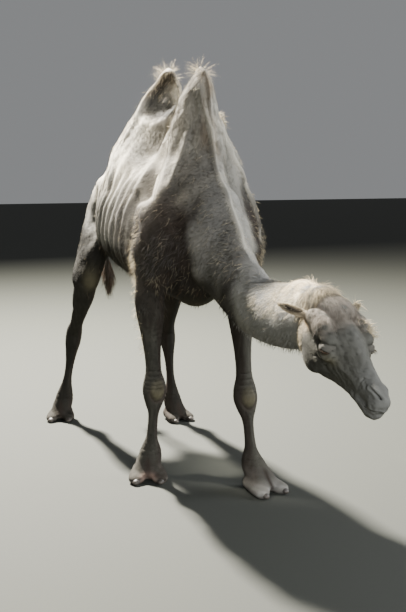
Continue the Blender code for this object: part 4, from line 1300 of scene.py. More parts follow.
def head_washes(lay, at, out):
    """The washes of the head, in the skull's frame. pair has both sides laid over each other."""
    here = to_head(at)
    x, y, z = here.T
    on = ramp(x, -0.04, 0.02) * ramp(-at[:, 1], 0.98, 1.06)
    side = np.where(y > 0, 1.0, -1.0)
    flip = np.stack([np.ones_like(side), side, np.ones_like(side)], -1)
    pair = here * flip
    lay(on * ramp(x, 0, 0.1), FACE * 1.25)
    lay(on * ramp(x, 0.08, 0.2), FACE)
    lay(on * ramp(x, 0.33, 0.42), MUZZLE)
    lay(on * 0.5 * bell(y, 0.022) * ramp(z, -0.06, -0.02), MUZZLE)
    # cheek, brow and the straw beard behind the jaw
    lay(0.95 * (on * blob(pair, (0.09, 0.08, -0.12), (0.105, 0.06, 0.12))), FACE * 0.25)
    lay(0.8 * (on * blob(pair, (0.19, 0.11, -0.015), (0.045, 0.04, 0.03))), FACE * 0.6)
    lay(0.6 * (on * blob(pair, (0.012, 0.06, -0.12), (0.024, 0.06, 0.09))), STRAW * 0.6)
    # the mop of the crown as far as its ragged edge over the eye
    crown = ramp(z, -0.045, 0.005) * ramp(0.215 - x, -0.02, 0.05)
    crown = crown * ramp(x, -0.07, -0.03)
    lay(on * crown * ramp(0.75 + noise(here, 0.04, 51), 0, 0.6), MOP)
    lay(0.75 * ramp(0.06 - x, 0, 0.06) * on * ramp(z, 0.03, 0.09), STRAW * 0.6)
    # round the eye
    eye = np.linalg.norm(pair - EYE_MIDDLE - (0, 0.014, 0.0), axis=1)
    lay(on * 0.85 * ramp(0.036 - eye, 0, 0.014) * ramp(z, -0.085, -0.06), LID)
    lay(on * 0.75 * blob(pair, (0.252, 0.088, -0.088), (0.035, 0.03, 0.022)), OLIVE * 0.6)
    lay(on * 0.6 * blob(pair, (0.205, 0.108, -0.085), (0.03, 0.03, 0.018)), LID * 0.6)
    # nostrils and lips: painted shade, black in the slits of the nostrils and the mouth
    lay(on * ramp(0.0048 - near_line(pair, NOSTRIL)[0], 0, 0.0028), BLACK)
    mouth = near_line(pair, MOUTH)[0]
    lay(on * ramp(0.004 - mouth, 0, 0.0026), BLACK)
    lower = on * bell(mouth - 0.01, 0.006) * (pair[:, 2] < -0.16) * ramp(pair[:, 0], 0.38, 0.44)
    lay(0.45 * lower, LID)
    # ears
    share, wide, opening = ear_face(pair, 1)
    ears = ear_mask(pair, 1)
    facing = ramp(((out @ HEAD_TURN) * flip) @ opening, 0, 0.4)
    lay(0.9 * ears, STRAW * 0.6)
    # painted shade inside the cup of each ear, on its open side
    lay(0.95 * (ears * facing * bell(wide, 0.016) * ramp(1 - share, 0.05, 0.25)), DARK * 0.7)
    lay(0.7 * on * blob(pair, (0.045, 0.085, -0.02), (0.03, 0.03, 0.03)), TAN)


def markings(at, out):
    """The colour of the coat at places of the animal's frame, where it faces a given way."""
    paint = Paint(PALE, len(at))
    lay = paint.lay
    body_washes(lay, at, out)
    leg_washes(lay, at, out)
    # painted highlight: pale lines along the crest and the left edge of the front hump, where the key
    # lights the ridges
    for line, pale in ((CREST, 0.55), (LEFT_EDGE, 0.6)):
        lay(pale * bell(near_line(at, line)[0], 0.016), PALE * 0.9)
    lay(0.6 * blob(at, CHEST_PAD, (0.09, 0.11, 0.05)), OLIVE * 0.7)
    head_washes(lay, at, out)
    return paint.colours


skin_at, skin_out = places(skin.data), directions(skin.data)


def tint(mesh, colours):
    """Stores a colour for every point of a mesh."""
    layer = mesh.attributes.new("tint", "FLOAT_COLOR", "POINT")
    layer.data.foreach_set("color", np.c_[colours, np.ones(len(colours))].astype(np.float32).ravel())


skin_colours = markings(skin_at, skin_out)
tint(skin.data, skin_colours * SKIN_SHADE)
print("mean colour of the skin:", np.round(skin_colours.mean(0), 3))

# %% [markdown]
# ## Materials as formulas
# A shader is arithmetic on values that flow along wires. Wrapping each wire in a small class lets a
# formula be written as a formula, so that a bump reads as noise times a height.


# %% Shader arithmetic
class Wire:
    """One output of a node, which numbers and other wires can be added to or multiplied with."""

    def __init__(self, tree, socket):
        self.tree, self.socket = tree, socket

    def maths(self, operation, other):
        node = self.tree.nodes.new("ShaderNodeMath")
        node.operation = operation
        for slot, value in zip(node.inputs, (self, other)):
            if isinstance(value, Wire):
                self.tree.links.new(value.socket, slot)
            else:
                slot.default_value = value
        return Wire(self.tree, node.outputs[0])

    def __add__(self, other):
        return self.maths("ADD", other)

    def __mul__(self, other):
        return self.maths("MULTIPLY", other)

    __radd__, __rmul__ = __add__, __mul__


class Finish:
    """A material, built by adding nodes and wiring them."""

    def __init__(self, name, roughness, specular=0.35):
        self.material = bpy.data.materials.new(name)
        self.material.use_nodes = True
        self.tree = self.material.node_tree
        self.surface = self.tree.nodes["Principled BSDF"]
        self.surface.inputs["Roughness"].default_value = roughness
        self.surface.inputs["Base Color"].default_value = (0.2, 0.2, 0.2, 1.0)
        self.surface.inputs["Specular IOR Level"].default_value = specular

    def node(self, kind, output, inputs=None, **settings):
        """Any node: its kind, its output, its inputs and its settings."""
        made = self.tree.nodes.new("ShaderNode" + kind)
        for name, value in settings.items():
            setattr(made, name, value)
        for name, value in (inputs or {}).items():
            if isinstance(value, Wire):
                self.tree.links.new(value.socket, made.inputs[name])
            else:
                made.inputs[name].default_value = value
        return Wire(self.tree, made.outputs[output])

    def grain(self, size, stretch=(1, 1, 1), detail=2.0):
        """Noise whose blobs are about size metres across, stretched along each axis."""
        place = self.node("TexCoord", "Object")
        place = self.node("Mapping", "Vector", {"Vector": place, "Scale": stretch})
        return self.node("TexNoise", "Fac", {"Vector": place, "Scale": 1 / size, "Detail": detail})

    def tinted(self):
        """The colour stored at the points of the mesh."""
        return self.node("Attribute", "Color", attribute_name="tint")

    def colour(self, wire):
        self.tree.links.new(wire.socket, self.surface.inputs["Base Color"])

    def shaded(self, tinted, low, high, amount):
        """A colour made darker and lighter by a value between 0 and 1."""
        gain = amount * (high - low) + low
        grey = self.node("CombineColor", "Color", {"Red": gain, "Green": gain, "Blue": gain})
        return self.node("Mix", 2, {6: tinted, 7: grey, 0: 1.0}, data_type="RGBA", blend_type="MULTIPLY")

    def bump(self, height, depth, strength=1.0):
        """Small relief, depth metres deep."""
        normal = self.node("Bump", "Normal", {"Height": height, "Distance": depth, "Strength": strength})
        self.tree.links.new(normal.socket, self.surface.inputs["Normal"])


print("a finish is built from nodes by name")

# %% [markdown]
# ## Five finishes
# Dry skin and old hair hardly shine. The eye is wet, with a clear coat over its colour, and a nail
# is dull horn. Colour is stored at the points of each mesh, so a material only adds the fine grain
# that points can't hold.

# %% Skin, hair, eye, nail and floor
SKIN_RELIEF, NAIL_RELIEF = 0.0016, 0.0006  # metres
FLOOR_COLOUR = {"Red": 0.026, "Green": 0.028, "Blue": 0.022}

skin_finish = Finish("skin", 0.9, specular=0.1)
hide = skin_finish.tinted()
fibres = skin_finish.grain(0.004, (2.0, 1.0, 0.4), 3.0)
mottle = skin_finish.grain(0.06, (1, 1, 1), 3.0)
skin_finish.colour(skin_finish.shaded(hide, 0.82, 1.18, mottle * 0.5 + fibres * 0.5))
skin_finish.bump(fibres * 0.6 + skin_finish.grain(0.012, (1.0, 1.6, 1.0)) * 0.8, SKIN_RELIEF)

hair_finish = Finish("hair", 0.88, specular=0.08)
hair_finish.colour(hair_finish.shaded(hair_finish.tinted(), 0.85, 1.15, hair_finish.grain(0.01)))

eye_finish = Finish("eye", 0.06, specular=0.6)
eye_finish.colour(eye_finish.tinted())
eye_finish.surface.inputs["Coat Weight"].default_value = 1.0
eye_finish.surface.inputs["Coat Roughness"].default_value = 0.03

nail_finish = Finish("nail", 0.45)
nail_finish.colour(nail_finish.shaded(nail_finish.tinted(), 0.7, 1.2, nail_finish.grain(0.01)))
nail_finish.bump(nail_finish.grain(0.003, (1, 1, 0.2)), NAIL_RELIEF)

floor_finish = Finish("floor", 0.9)
speckle = floor_finish.grain(0.02, detail=4.0)
floor_base = floor_finish.node("CombineColor", "Color", FLOOR_COLOUR)
floor_finish.colour(floor_finish.shaded(floor_base, 0.94, 1.06, speckle))
floor_mesh.materials.append(floor_finish.material)
skin.data.materials.append(skin_finish.material)
print("finishes:", len(bpy.data.materials))

# %% [markdown]
# ## Eyes, lids and nails
# The eyeball is a wet brown ball with a level pupil. The lids are one ring of skin that rides on
# it: a heavy upper lid that covers half of it, a thin lower one, and a fold above. Each nail is a
# blunt horn cap on a toe.

# %% Eyeballs and lids
SLIT_SLOPE = -0.04
SLIT_HALF_LENGTH, SLIT_UP, SLIT_DOWN = 0.0215, 0.0008, 0.0072
LID_REACH, LID_AROUND, LID_ROWS = 0.038, 72, 15
BALL_ROWS, BALL_AROUND, BALL_GAP = 41, 56, 0.995
EYE_WHITE, IRIS = np.array([(0.2, 0.15, 0.11), (0.06, 0.026, 0.01)])
IRIS_RADIUS, PUPIL_LENGTH, PUPIL_HEIGHT = 0.62, 0.34, 0.17  # of the ball's radius


def grid_faces(rows, columns):
    """Quads over a grid that closes both ways."""
    row, column = np.meshgrid(np.arange(rows), np.arange(columns), indexing="ij")
    down, right = (row + 1) % rows * columns, (column + 1) % columns
    here = row * columns
    corners = [here + column, here + right, down + right, down + column]
    return np.stack(corners, -1).reshape(-1, 4).tolist()


def finished(made, finish, slot):
    """An object of the animal, linked, with its material and its body. Its slot is not used."""
    made.data.materials.append(finish.material)
    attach(linked(made), "root")
    return made


def piece(name, points, faces, colours, finish, slot, replaced=()):
    """A closed piece: moved home, facing outwards and coloured."""
    mesh = bpy.data.meshes.new(name)
    mesh.from_pydata((points + HOME).tolist(), [], faces)
    outward(mesh)
    mesh.shade_smooth()
    tint(mesh, colours)
    made = finished(bpy.data.objects.new(name, mesh), finish, slot)
    if replaced:
        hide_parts(*replaced)


def eye_directions(side):
    """The eye's axis, the way along its slit and the way up, in the skull's frame."""
    axis = eye_axis(side)
    along = np.array([0.97, 0, SLIT_SLOPE])
    along -= axis * (axis @ along)
    along /= np.linalg.norm(along)
    up = np.cross(along, axis)
    return axis, along, up * np.sign(up[2])


def eyeball(side):
    """A ball with a brown iris and a level black pupil."""
    points = unit_ball(BALL_ROWS, BALL_AROUND)
    axis, along, up = eye_directions(side)
    ahead, level, height = points @ axis > 0, points @ along, points @ up
    off = np.hypot(level, height)
    paint = Paint(EYE_WHITE, len(off))
    paint.lay(ramp(IRIS_RADIUS - off, 0, 0.05) * ahead, IRIS)
    paint.lay(bell(off - 0.6, 0.06) * ahead, BLACK)
    paint.lay(ramp(1.1 - np.hypot(level / PUPIL_LENGTH, height / PUPIL_HEIGHT), 0, 0.2) * ahead, BLACK)
    placed = from_head(mirrored(EYE_MIDDLE, side) + EYE_RADIUS * points * BALL_GAP)
    return placed, ring_faces(BALL_ROWS - 1, BALL_AROUND), paint.colours


skin_tree = surface_tree(skin.data, skin_at)


def lid_rim(share, upper):
    """Thickness over the ball: a puffy rim, a thick upper lid, and a groove above and below."""
    share = share[:, None]
    rim = 0.0016 + 0.0016 * bell(share - 0.1, 0.08) + upper * 0.006 * bell(share - 0.42, 0.24)
    rim = rim - upper * 0.0012 * bell(share - 0.62, 0.07)
    return rim - (1 - upper) * 0.0012 * bell(share - 0.34, 0.07)


def lid_colours(share, upper, placed, axis):
    """Black at the wet edge as painted shade in the slit, olive on the lower lid, and the face's own
    colour where it joins the face.
    """
    shade = np.repeat(np.concatenate([share, share[::-1]]), LID_AROUND)
    upper_here = np.tile(upper[0], 2 * LID_ROWS)
    paint = Paint(LID * 0.8, len(placed))
    paint.lay((1 - upper_here) * 0.6, OLIVE * 0.55)
    # painted shade: black at the lid's edge, along the slit
    paint.lay(ramp(0.14 - shade, 0, 0.08), BLACK * 2)
    paint.lay(0.45 * bell(shade - 0.6, 0.06) * upper_here, FACE)
    face_colours = markings(placed, np.tile(HEAD_TURN @ axis, (len(placed), 1))) * SKIN_SHADE
    paint.lay(ramp(shade, 0.62, 0.98), face_colours)
    return paint.colours


def lids(side):
    """A ring of skin from behind the lid's edge, over its rim and fold, to under the skin of the face.

    For a turn t and a share s, the place in the eye's plane is (1 - s) * slit(t) + s * outer(t). Its
    distance from the eye's middle is the ball's radius plus the rim, easing into the skin of the face.
    """
    axis, along, up = eye_directions(side)
    middle = mirrored(EYE_MIDDLE, side)
    turn = even_turns(LID_AROUND)
    level, height = np.cos(turn), np.sin(turn)
    slit_height = np.where(height > 0, SLIT_UP, SLIT_DOWN) * height * np.abs(height) ** 0.15
    slit = np.stack([SLIT_HALF_LENGTH * level, slit_height], -1)
    outer = np.stack([(LID_REACH + 0.002) * level, LID_REACH * height], -1)
    share = np.linspace(0, 1, LID_ROWS)
    upper = ramp(height, -0.2, 0.6)[None]
    flat = slit[None] + (share**1.1)[:, None, None] * (outer - slit)[None]
    angle = np.linalg.norm(flat, axis=-1)[..., None] / EYE_RADIUS
    way = flat / np.maximum(np.linalg.norm(flat, axis=-1, keepdims=True), 1e-9)
    toward = np.cos(angle) * axis + np.sin(angle) * (way[..., :1] * along + way[..., 1:] * up)
    top = middle + toward * (EYE_RADIUS + lid_rim(share, upper))[..., None]
    skin_here = np.empty_like(top)
    for spot in np.ndindex(LID_ROWS, LID_AROUND):
        found, normal, _, _ = skin_tree.find_nearest(Vector(from_head(middle + toward[spot] * 0.05)))
        skin_here[spot] = to_head(np.array(found) - 0.0018 * np.array(normal))
    join = ramp(share, 0.58, 1.0)[:, None, None]
    top = top * (1 - join) + skin_here * join
    under = top - toward * (0.0022 + 0.0012 * share)[:, None, None]
    under[0] = middle + toward[0] * (EYE_RADIUS - 0.0006)
    placed = from_head(np.concatenate([top, under[::-1]]).reshape(-1, 3))
    return placed, grid_faces(2 * LID_ROWS, LID_AROUND), lid_colours(share, upper, placed, axis)


lid_rings = {}
for name, side in SIDES.items():
    piece(f"eyeball_{name}", *eyeball(side), eye_finish, "eye", [f"eye_{name}"])
    lid_rings[name] = lids(side)
    piece(f"lids_{name}", *lid_rings[name], skin_finish, "coat")
print("eyes and lids:", 2 * len(SIDES), "pieces")

# %% [markdown]
# ## Nails
# A camel walks on pads, and its nails are only blunt caps at the front of the toes. Each is a ball
# pressed flat below, tipped down a little and darker at its root.

# %% Toenails
NAIL_ROWS, NAIL_AROUND, NAIL_TIP = 13, 20, 22  # rows, points around, degrees
NAIL_RADII, NAIL_SOLE = (0.0215, 0.019, 0.0135), -0.009
NAIL_DARK, NAIL_WORN = np.array([(0.03, 0.025, 0.021), (0.06, 0.05, 0.04)])


def nail(leg, side):
    """A blunt horn cap: an ellipsoid along the toe, pressed flat below."""
    length, width = FOOT_SIZE[leg.split("_")[0]]
    grid = np.roll(unit_ball(NAIL_ROWS, NAIL_AROUND), 1, axis=1)
    points = grid * NAIL_RADII
    points[:, 2] = np.maximum(points[:, 2], NAIL_SOLE)
    on_foot = (
        Matrix.Rotation(math.radians(side * TOE_SPLAY), 4, "Z")
        @ Matrix.Translation((0.485 * length, side * 0.212 * width, 0.018))
        @ Matrix.Rotation(math.radians(NAIL_TIP), 4, "Y")
    )
    placed = foot_frame(leg) @ on_foot
    points = points @ np.array(placed.to_3x3()).T + np.array(placed.translation)
    points[:, 2] = np.maximum(points[:, 2], 0.0012)
    colours = wash(np.tile(NAIL_DARK, (len(points), 1)), ramp(grid[:, 0], 0.2, 0.9), NAIL_WORN)
    return points, ring_faces(NAIL_ROWS - 1, NAIL_AROUND), colours


for leg in LEGS:
    outer_side = SIDES[leg.split("_")[1]]
    for which, side in (("outer", outer_side), ("inner", -outer_side)):
        piece(f"nail_{leg}_{which}", *nail(leg, side), nail_finish, "horn", [f"toenail_{leg}_{which}"])
print("nails:", 2 * len(LEGS))

# %% [markdown]
# ## The coat, lock by lock
# The export keeps no hair, so each tuft is a small solid: a tapered lock with three sides, a flat
# root in the skin and a tip. A short lock hugs the skin, and a long one leaves it and bends under
# its own weight. Arrays build tens of thousands at once, which would be slow one by one.

# %% Parts of the body, for the coat
EAR_EXTRA, MOP_EXTRA, MUZZLE_LESS = 0.004, 0.022, 0.005  # added to or taken from the hair there
LENGTHS = {"body": 0.026, "neck": 0.023, "leg": 0.015, "tail": 0.04, "foot": 0.008, "head": 0.013}  # m


def unit(vectors):
    """Vectors scaled to length 1."""
    return vectors / np.maximum(np.linalg.norm(vectors, axis=-1, keepdims=True), 1e-9)


def parts_of(at):
    """Soft masks of the body's parts."""
    x, y, z = at.T
    here = to_head(at)
    head = ramp(-y, 1.0, 1.07)
    ears = np.zeros(len(at))
    for side in SIDES.values():
        ears += ear_mask(here, side)
    tail = (np.abs(x - 0.015) < 0.07) * ramp(y, 1.52, 1.57) * ramp(z, 0.78, 0.84) * ramp(1.42 - z, 0, 0.1)
    behind_neck = ramp(y, -0.62, -0.45)
    low = ramp(1.02 - z, 0, 0.14) * (1 - head) * (1 - tail) * behind_neck * ramp(np.abs(x), 0.07, 0.12)
    low = np.maximum(low, ramp(0.84 - z, 0, 0.06) * (1 - head) * behind_neck * (1 - tail))
    return {
        "head": head,
        "ear": ears * head,
        "neck": ramp(-y, 0.22, 0.42) * (1 - head) * (1 - low),
        "hump": ramp(z, 1.62, 1.8),
        "fore": low * (y < 0.6),
        "hind": low * (y >= 0.6),
        "foot": ramp(0.16 - z, 0, 0.05),
        "tail": tail,
    }


def under_mop(here):
    """The mop of the crown, whose ragged point hangs over each eye."""
    point = 0.165 + 0.045 * bell(np.abs(here[:, 1]) - 0.055, 0.03)
    mop = ramp(point - here[:, 0], 0, 0.03) * ramp(here[:, 2], -0.03, 0.015)
    return mop * ramp(here[:, 0], -0.08, -0.05)


def lie_of(at, out):
    """The way the hair lies: back and down on the body, down on the limbs, from the nose to the nape."""
    part = parts_of(at)
    here = to_head(at)
    way = np.tile([0.0, 0.8, -0.6], (len(at), 1))

    def lean(mask, target):
        return way + mask[:, None] * (np.asarray(target) - way)

    way = lean(part["hump"], (0.0, 0.25, -0.97))
    way = lean(part["neck"], (0.0, 0.75, -0.66))
    way = lean(part["fore"] + part["hind"] + part["tail"], (0.0, 0.15, -0.98))
    way = lean(part["head"], HEAD_TURN @ np.array([-0.92, 0.0, -0.38]))
    crown = unit(np.stack([here[:, 0] - 0.01, here[:, 1] * 1.1, here[:, 2] - 0.12], -1) + (0.3, 0, -0.2))
    way = lean(part["head"] * under_mop(here), crown @ HEAD_TURN.T)
    for side in SIDES.values():
        grows = unit(HEAD_TURN @ (mirrored(EAR_TIP, side) - mirrored(EAR_ROOT, side)))
        way = lean(part["ear"] * (side * here[:, 1] > 0), grows)
    way = way - out * (way * out).sum(1, keepdims=True)
    swirl = 0.22 * noise(at, 0.15, 61) + chance.normal(0, 0.12, len(at))
    way = unit(way)
    return unit(way * np.cos(swirl)[:, None] + np.cross(out, way) * np.sin(swirl)[:, None])


def hair_length(at):
    """Length of the short coat, in metres."""
    part = parts_of(at)
    here = to_head(at)
    length = np.full(len(at), LENGTHS["body"])
    length += part["neck"] * (LENGTHS["neck"] - length)
    length += (part["fore"] + part["hind"]) * (LENGTHS["leg"] - length)
    length += part["tail"] * (LENGTHS["tail"] - length)
    length += part["foot"] * (LENGTHS["foot"] - length)
    length += part["head"] * (LENGTHS["head"] - MUZZLE_LESS * ramp(here[:, 0], 0.15, 0.4) - length)
    length += part["head"] * under_mop(here) * MOP_EXTRA
    return length + part["ear"] * EAR_EXTRA


print("hair lengths:", LENGTHS)

# %% [markdown]
# ## Where each lock grows
# Roots fall at random on the skin's triangles, more of them where a weight is larger. Each lock
# also gets a spot on a bake map, which is a plan of the unrolled body.

# %% Roots on the skin, and the bake map
PATCH = 0.003  # size of one tuft on the bake map

triangle_points = np.empty(3 * len(skin.data.polygons), np.int32)
skin.data.polygons.foreach_get("vertices", triangle_points)
triangle_points = triangle_points.reshape(-1, 3)
corner_at, corner_out = skin_at[triangle_points], skin_out[triangle_points]
edges = corner_at[:, 1:] - corner_at[:, :1]
triangle_area = np.linalg.norm(np.cross(edges[:, 0], edges[:, 1]), axis=1) / 2
triangle_middle = corner_at.mean(1)
triangle_out = unit(corner_out.mean(1))
print("skin area:", round(float(triangle_area.sum()), 2), "m2")


def sprinkle(weights, count):
    """Random roots on the skin, with a given weight per square metre on each triangle."""
    share = triangle_area * weights
    chosen = chance.choice(len(share), size=count, p=share / share.sum())
    mix = np.sqrt(chance.random(count))
    slide = chance.random(count)
    mixing = np.stack([1 - mix, mix * (1 - slide), mix * slide], -1)[..., None]
    return (corner_at[chosen] * mixing).sum(1), unit((corner_out[chosen] * mixing).sum(1))


def turn_of(across, up):
    """An angle about an axis as a share of a whole turn."""
    return np.arctan2(across, up) / (2 * math.pi) + 0.5


def unwrap(at):
    """A place on the bake map: each limb is a strip, unrolled by the turn about its axis."""
    part = parts_of(at)
    here = to_head(at)
    x, y, z = at.T
    u, v = turn_of(x, z - 1.25), (y + 0.5) / 2.2
    for mask, turn, along in (
        (part["neck"] > 0.5, turn_of(x, z - 1.0 + 0.5 * y.clip(-0.5, 0) + 0.25), (y + 1.2) / 1.2),
        (part["head"] > 0.5, turn_of(here[:, 1], here[:, 2] + 0.07), (here[:, 0] + 0.15) / 0.75),
    ):
        u, v = np.where(mask, turn, u), np.where(mask, along, v)
    for leg in LEGS:
        joints = np.array(joint_points(leg))[::-1]
        which, side = leg.split("_")
        centre_x, centre_y = (np.interp(z, joints[:, 2], joints[:, axis]) for axis in (0, 1))
        mask = (part[which] > 0.5) & (np.sign(x) == SIDES[side])
        half = turn_of(x - centre_x, y - centre_y) / 2 + (0.5 if side == "left" else 0.0)
        u, v = np.where(mask, half, u), np.where(mask, z / 1.05, v)
    return np.stack([u, v], -1).clip(0.0, 1 - PATCH)


# %% [markdown]
# ## The shape of a lock
# One lock has three sides: a broad flat back, two narrow faces and a point. All locks of a piece
# share one list of faces, shifted from lock to lock, so a whole region of the coat is a handful of
# array operations.

# %% Locks
ROOT_DEPTH, TIP_LIFT, SKIN_LIFT = 0.0022, 0.0008, 0.0005
TAPER_PLACES, TAPER_WIDTHS = (0, 0.35, 0.75, 1), (0.8, 1.0, 0.72, 0.0)
THICKNESS = 0.42  # of half the width
ROOT_SHADE, TIP_GAIN = 0.93, 0.11  # painted shade: a lock is darker at its root, down in the coat, than at its tip
SHADE_SPREAD = 0.09
DOWN = np.array([0, 0, -1.0])


def lock_faces(rings, sample):
    """Faces of one lock of three sides, turned outwards as its sample points tell."""
    faces = [(0, 2, 1)]
    for ring in range(rings - 1):
        for corner in range(3):
            after = (corner + 1) % 3
            a, b, c, d = ring * 3 + corner, ring * 3 + after, ring * 3 + 3 + after, ring * 3 + 3 + corner
            faces += [(a, b, c), (a, c, d)]
    last = (rings - 1) * 3
    faces += [(last + corner, last + (corner + 1) % 3, last + 3) for corner in range(3)]
    faces = np.array(faces)
    one, two, three = (sample[faces[:, corner]] for corner in range(3))
    volume = np.einsum("ij,ij->i", one, np.cross(two, three)).sum()
    return faces[:, ::-1] if volume < 0 else faces


def triangle_mesh(name, points, faces):
    """A mesh of many triangles, filled from arrays."""
    mesh = bpy.data.meshes.new(name)
    mesh.vertices.add(len(points))
    move_to(mesh, points)
    mesh.loops.add(3 * len(faces))
    mesh.loops.foreach_set("vertex_index", faces.astype(np.int32).ravel())
    mesh.polygons.add(len(faces))
    mesh.polygons.foreach_set("loop_start", np.arange(0, 3 * len(faces), 3, dtype=np.int32))
    mesh.update(calc_edges=True)
    mesh.validate()
    mesh.shade_smooth()
    return mesh


def locks(
    name, roots, out, lie, length, width, rings, slot,
    rise=0.1, fall=0.0, hug=True, shade=None, colours=None,
):
    """A piece of coat: one closed lock per root.

    The middle of a lock at share t of its length L is
        root - sink * out + L * t * (lie * cos(rise) + out * sin(rise)) + fall * L * t^2 * down.
    Its section is a flat triangle that narrows towards the tip.
    """
    count = len(roots)
    length, width, rise, fall = (np.broadcast_to(value, count) for value in (length, width, rise, fall))
    share = np.linspace(0, 1, rings + 1)
    lift = lie * np.cos(rise)[:, None] + out * np.sin(rise)[:, None]
    side = unit(np.cross(lift, out))[:, None]
    run = (length[:, None] * share)[..., None] * lift[:, None]
    middle = roots[:, None] - (ROOT_DEPTH * out)[:, None] + run
    middle = middle + (fall * length)[:, None, None] * (share**2)[None, :, None] * DOWN
    if hug:
        heights = SKIN_LIFT + (length[:, None] * np.sin(rise)[:, None] + TIP_LIFT) * share[None]
        for ring in range(1, rings + 1):
            for row in range(count):
                found, normal, _, _ = skin_tree.find_nearest(middle[row, ring])
                middle[row, ring] = np.array(found) + np.array(normal) * heights[row, ring]
    half = 0.5 * width[:, None, None] * np.interp(share, TAPER_PLACES, TAPER_WIDTHS)[None, :, None]
    section = [middle - side * half, middle + side * half, middle + out[:, None] * half * THICKNESS]
    ring_points = np.stack(section, 2)[:, :rings].reshape(count, rings * 3, 3)
    points = np.concatenate([ring_points, middle[:, rings:]], 1)
    shifts = np.arange(count) * (rings * 3 + 1)
    faces = (lock_faces(rings, points[0])[None] + shifts[:, None, None]).reshape(-1, 3)
    mesh = triangle_mesh(name, points.reshape(-1, 3) + HOME, faces)
    if colours is None:
        colours = markings(roots, out)
    shade = np.exp(chance.normal(0, SHADE_SPREAD, count)) if shade is None else shade
    along = np.concatenate([np.repeat(share[:rings], 3), share[rings:]])
    # painted shade towards the root of each lock
    depth = ROOT_SHADE + TIP_GAIN * along
    tint(mesh, ((colours * shade[:, None])[:, None] * depth[None, :, None]).reshape(-1, 3).clip(0, 0.9))
    across = np.concatenate([np.tile([0.0, 1.0, 0.5], rings), [0.5]])
    spots = unwrap(roots)[:, None] + (np.stack([across, along], -1) * PATCH)[None]
    uv = spots.reshape(-1, 2)[faces.ravel()]
    mesh.uv_layers.new(name="OFBake").data.foreach_set("uv", uv.astype(np.float32).ravel())
    finished(bpy.data.objects.new(name, mesh), hair_finish, slot)
    print(f"{name}: {count} locks, {len(faces)} triangles")


# %% [markdown]
# ## Short coat
# The short coat covers every side and is densest on the head, where the eye looks first. Each
# region is its own piece.
# region is its own piece, so that none grows too large to export.

# %% Short coat
BUSY = 1.0
BARE_EYE, BARE_NOSTRIL, BARE_MOUTH, BARE_SOLE = 0.029, 0.007, 0.005, 0.012  # no hair this near to them
LENGTH_RANGE, WIDTH_RANGE, LIFT_RANGE, FACE_LIFT = (0.75, 1.25), (0.7, 1.3), (0.02, 0.12), 0.4
part = parts_of(triangle_middle)
body = (1 - part["head"]) * (1 - part["neck"]) * (1 - part["fore"]) * (1 - part["hind"])
torso = body * (1 - part["hump"]) * (1 - part["tail"])
tx, ty, tz = triangle_middle.T
head_spot = to_head(triangle_middle)
wet = np.zeros(len(tx))
for side in SIDES.values():
    wet += np.linalg.norm(head_spot - mirrored(EYE_MIDDLE, side), axis=1) < BARE_EYE
    wet += near_line(head_spot, NOSTRIL * (1, side, 1))[0] < BARE_NOSTRIL
    wet += near_line(head_spot, MOUTH * (1, side, 1))[0] < BARE_MOUTH
dry = (wet == 0) & (tz > BARE_SOLE)
COAT = {
    # name: (weights over the skin's triangles, locks, width of a lock, slot)
    "coat_face": (part["head"] * ramp(head_spot[:, 0], 0.06, 0.12), 44000, 0.001, "coat"),
    "coat_crown": (part["head"] * ramp(0.12 - head_spot[:, 0], 0, 0.06), 24000, 0.002, "coat"),
    "coat_neck": (part["neck"], 34000, 0.0025, "coat"),
    "coat_chest": (torso * ramp(0.38 - ty, 0, 0.05), 32000, 0.0029, "coat"),
    "coat_barrel": (torso * ramp(ty, 0.33, 0.38) * ramp(1.1 - ty, 0, 0.05), 33000, 0.003, "coat"),
    "coat_rump": (torso * ramp(ty, 1.05, 1.1) + part["tail"], 26000, 0.0032, "coat"),
    "coat_humps": (body * part["hump"], 32000, 0.003, "wool"),
    "coat_fore_legs": (part["fore"], 26000, 0.0022, "leg_coat"),
    "coat_hind_legs": (part["hind"], 24000, 0.0022, "leg_coat"),
}
for name, (weights, count, width, slot) in COAT.items():
    roots, out = sprinkle(np.maximum(weights, 0) * dry, round(count * BUSY))
    length = hair_length(roots) * chance.uniform(*LENGTH_RANGE, len(roots))
    widths = width * chance.uniform(*WIDTH_RANGE, len(roots)) * (1 - 0.3 * parts_of(roots)["foot"])
    lift = chance.uniform(*LIFT_RANGE, len(roots)) * (FACE_LIFT if name == "coat_face" else 1.0)
    locks(name, roots, out, lie_of(roots, out), length, widths, 1, slot, rise=lift)

# %% [markdown]
# ## Rags of winter wool
# Old wool hangs on where it was thickest: at the tips and edges of both humps, on the shoulders and
# elbows, down the nape, on the crown and behind the jaw. It comes away in clumps, so the long locks
# here start from clump centres and share a direction.

# %% Clumps of long locks
SPARE = 1.0
WHITE = STRAW * 1.25


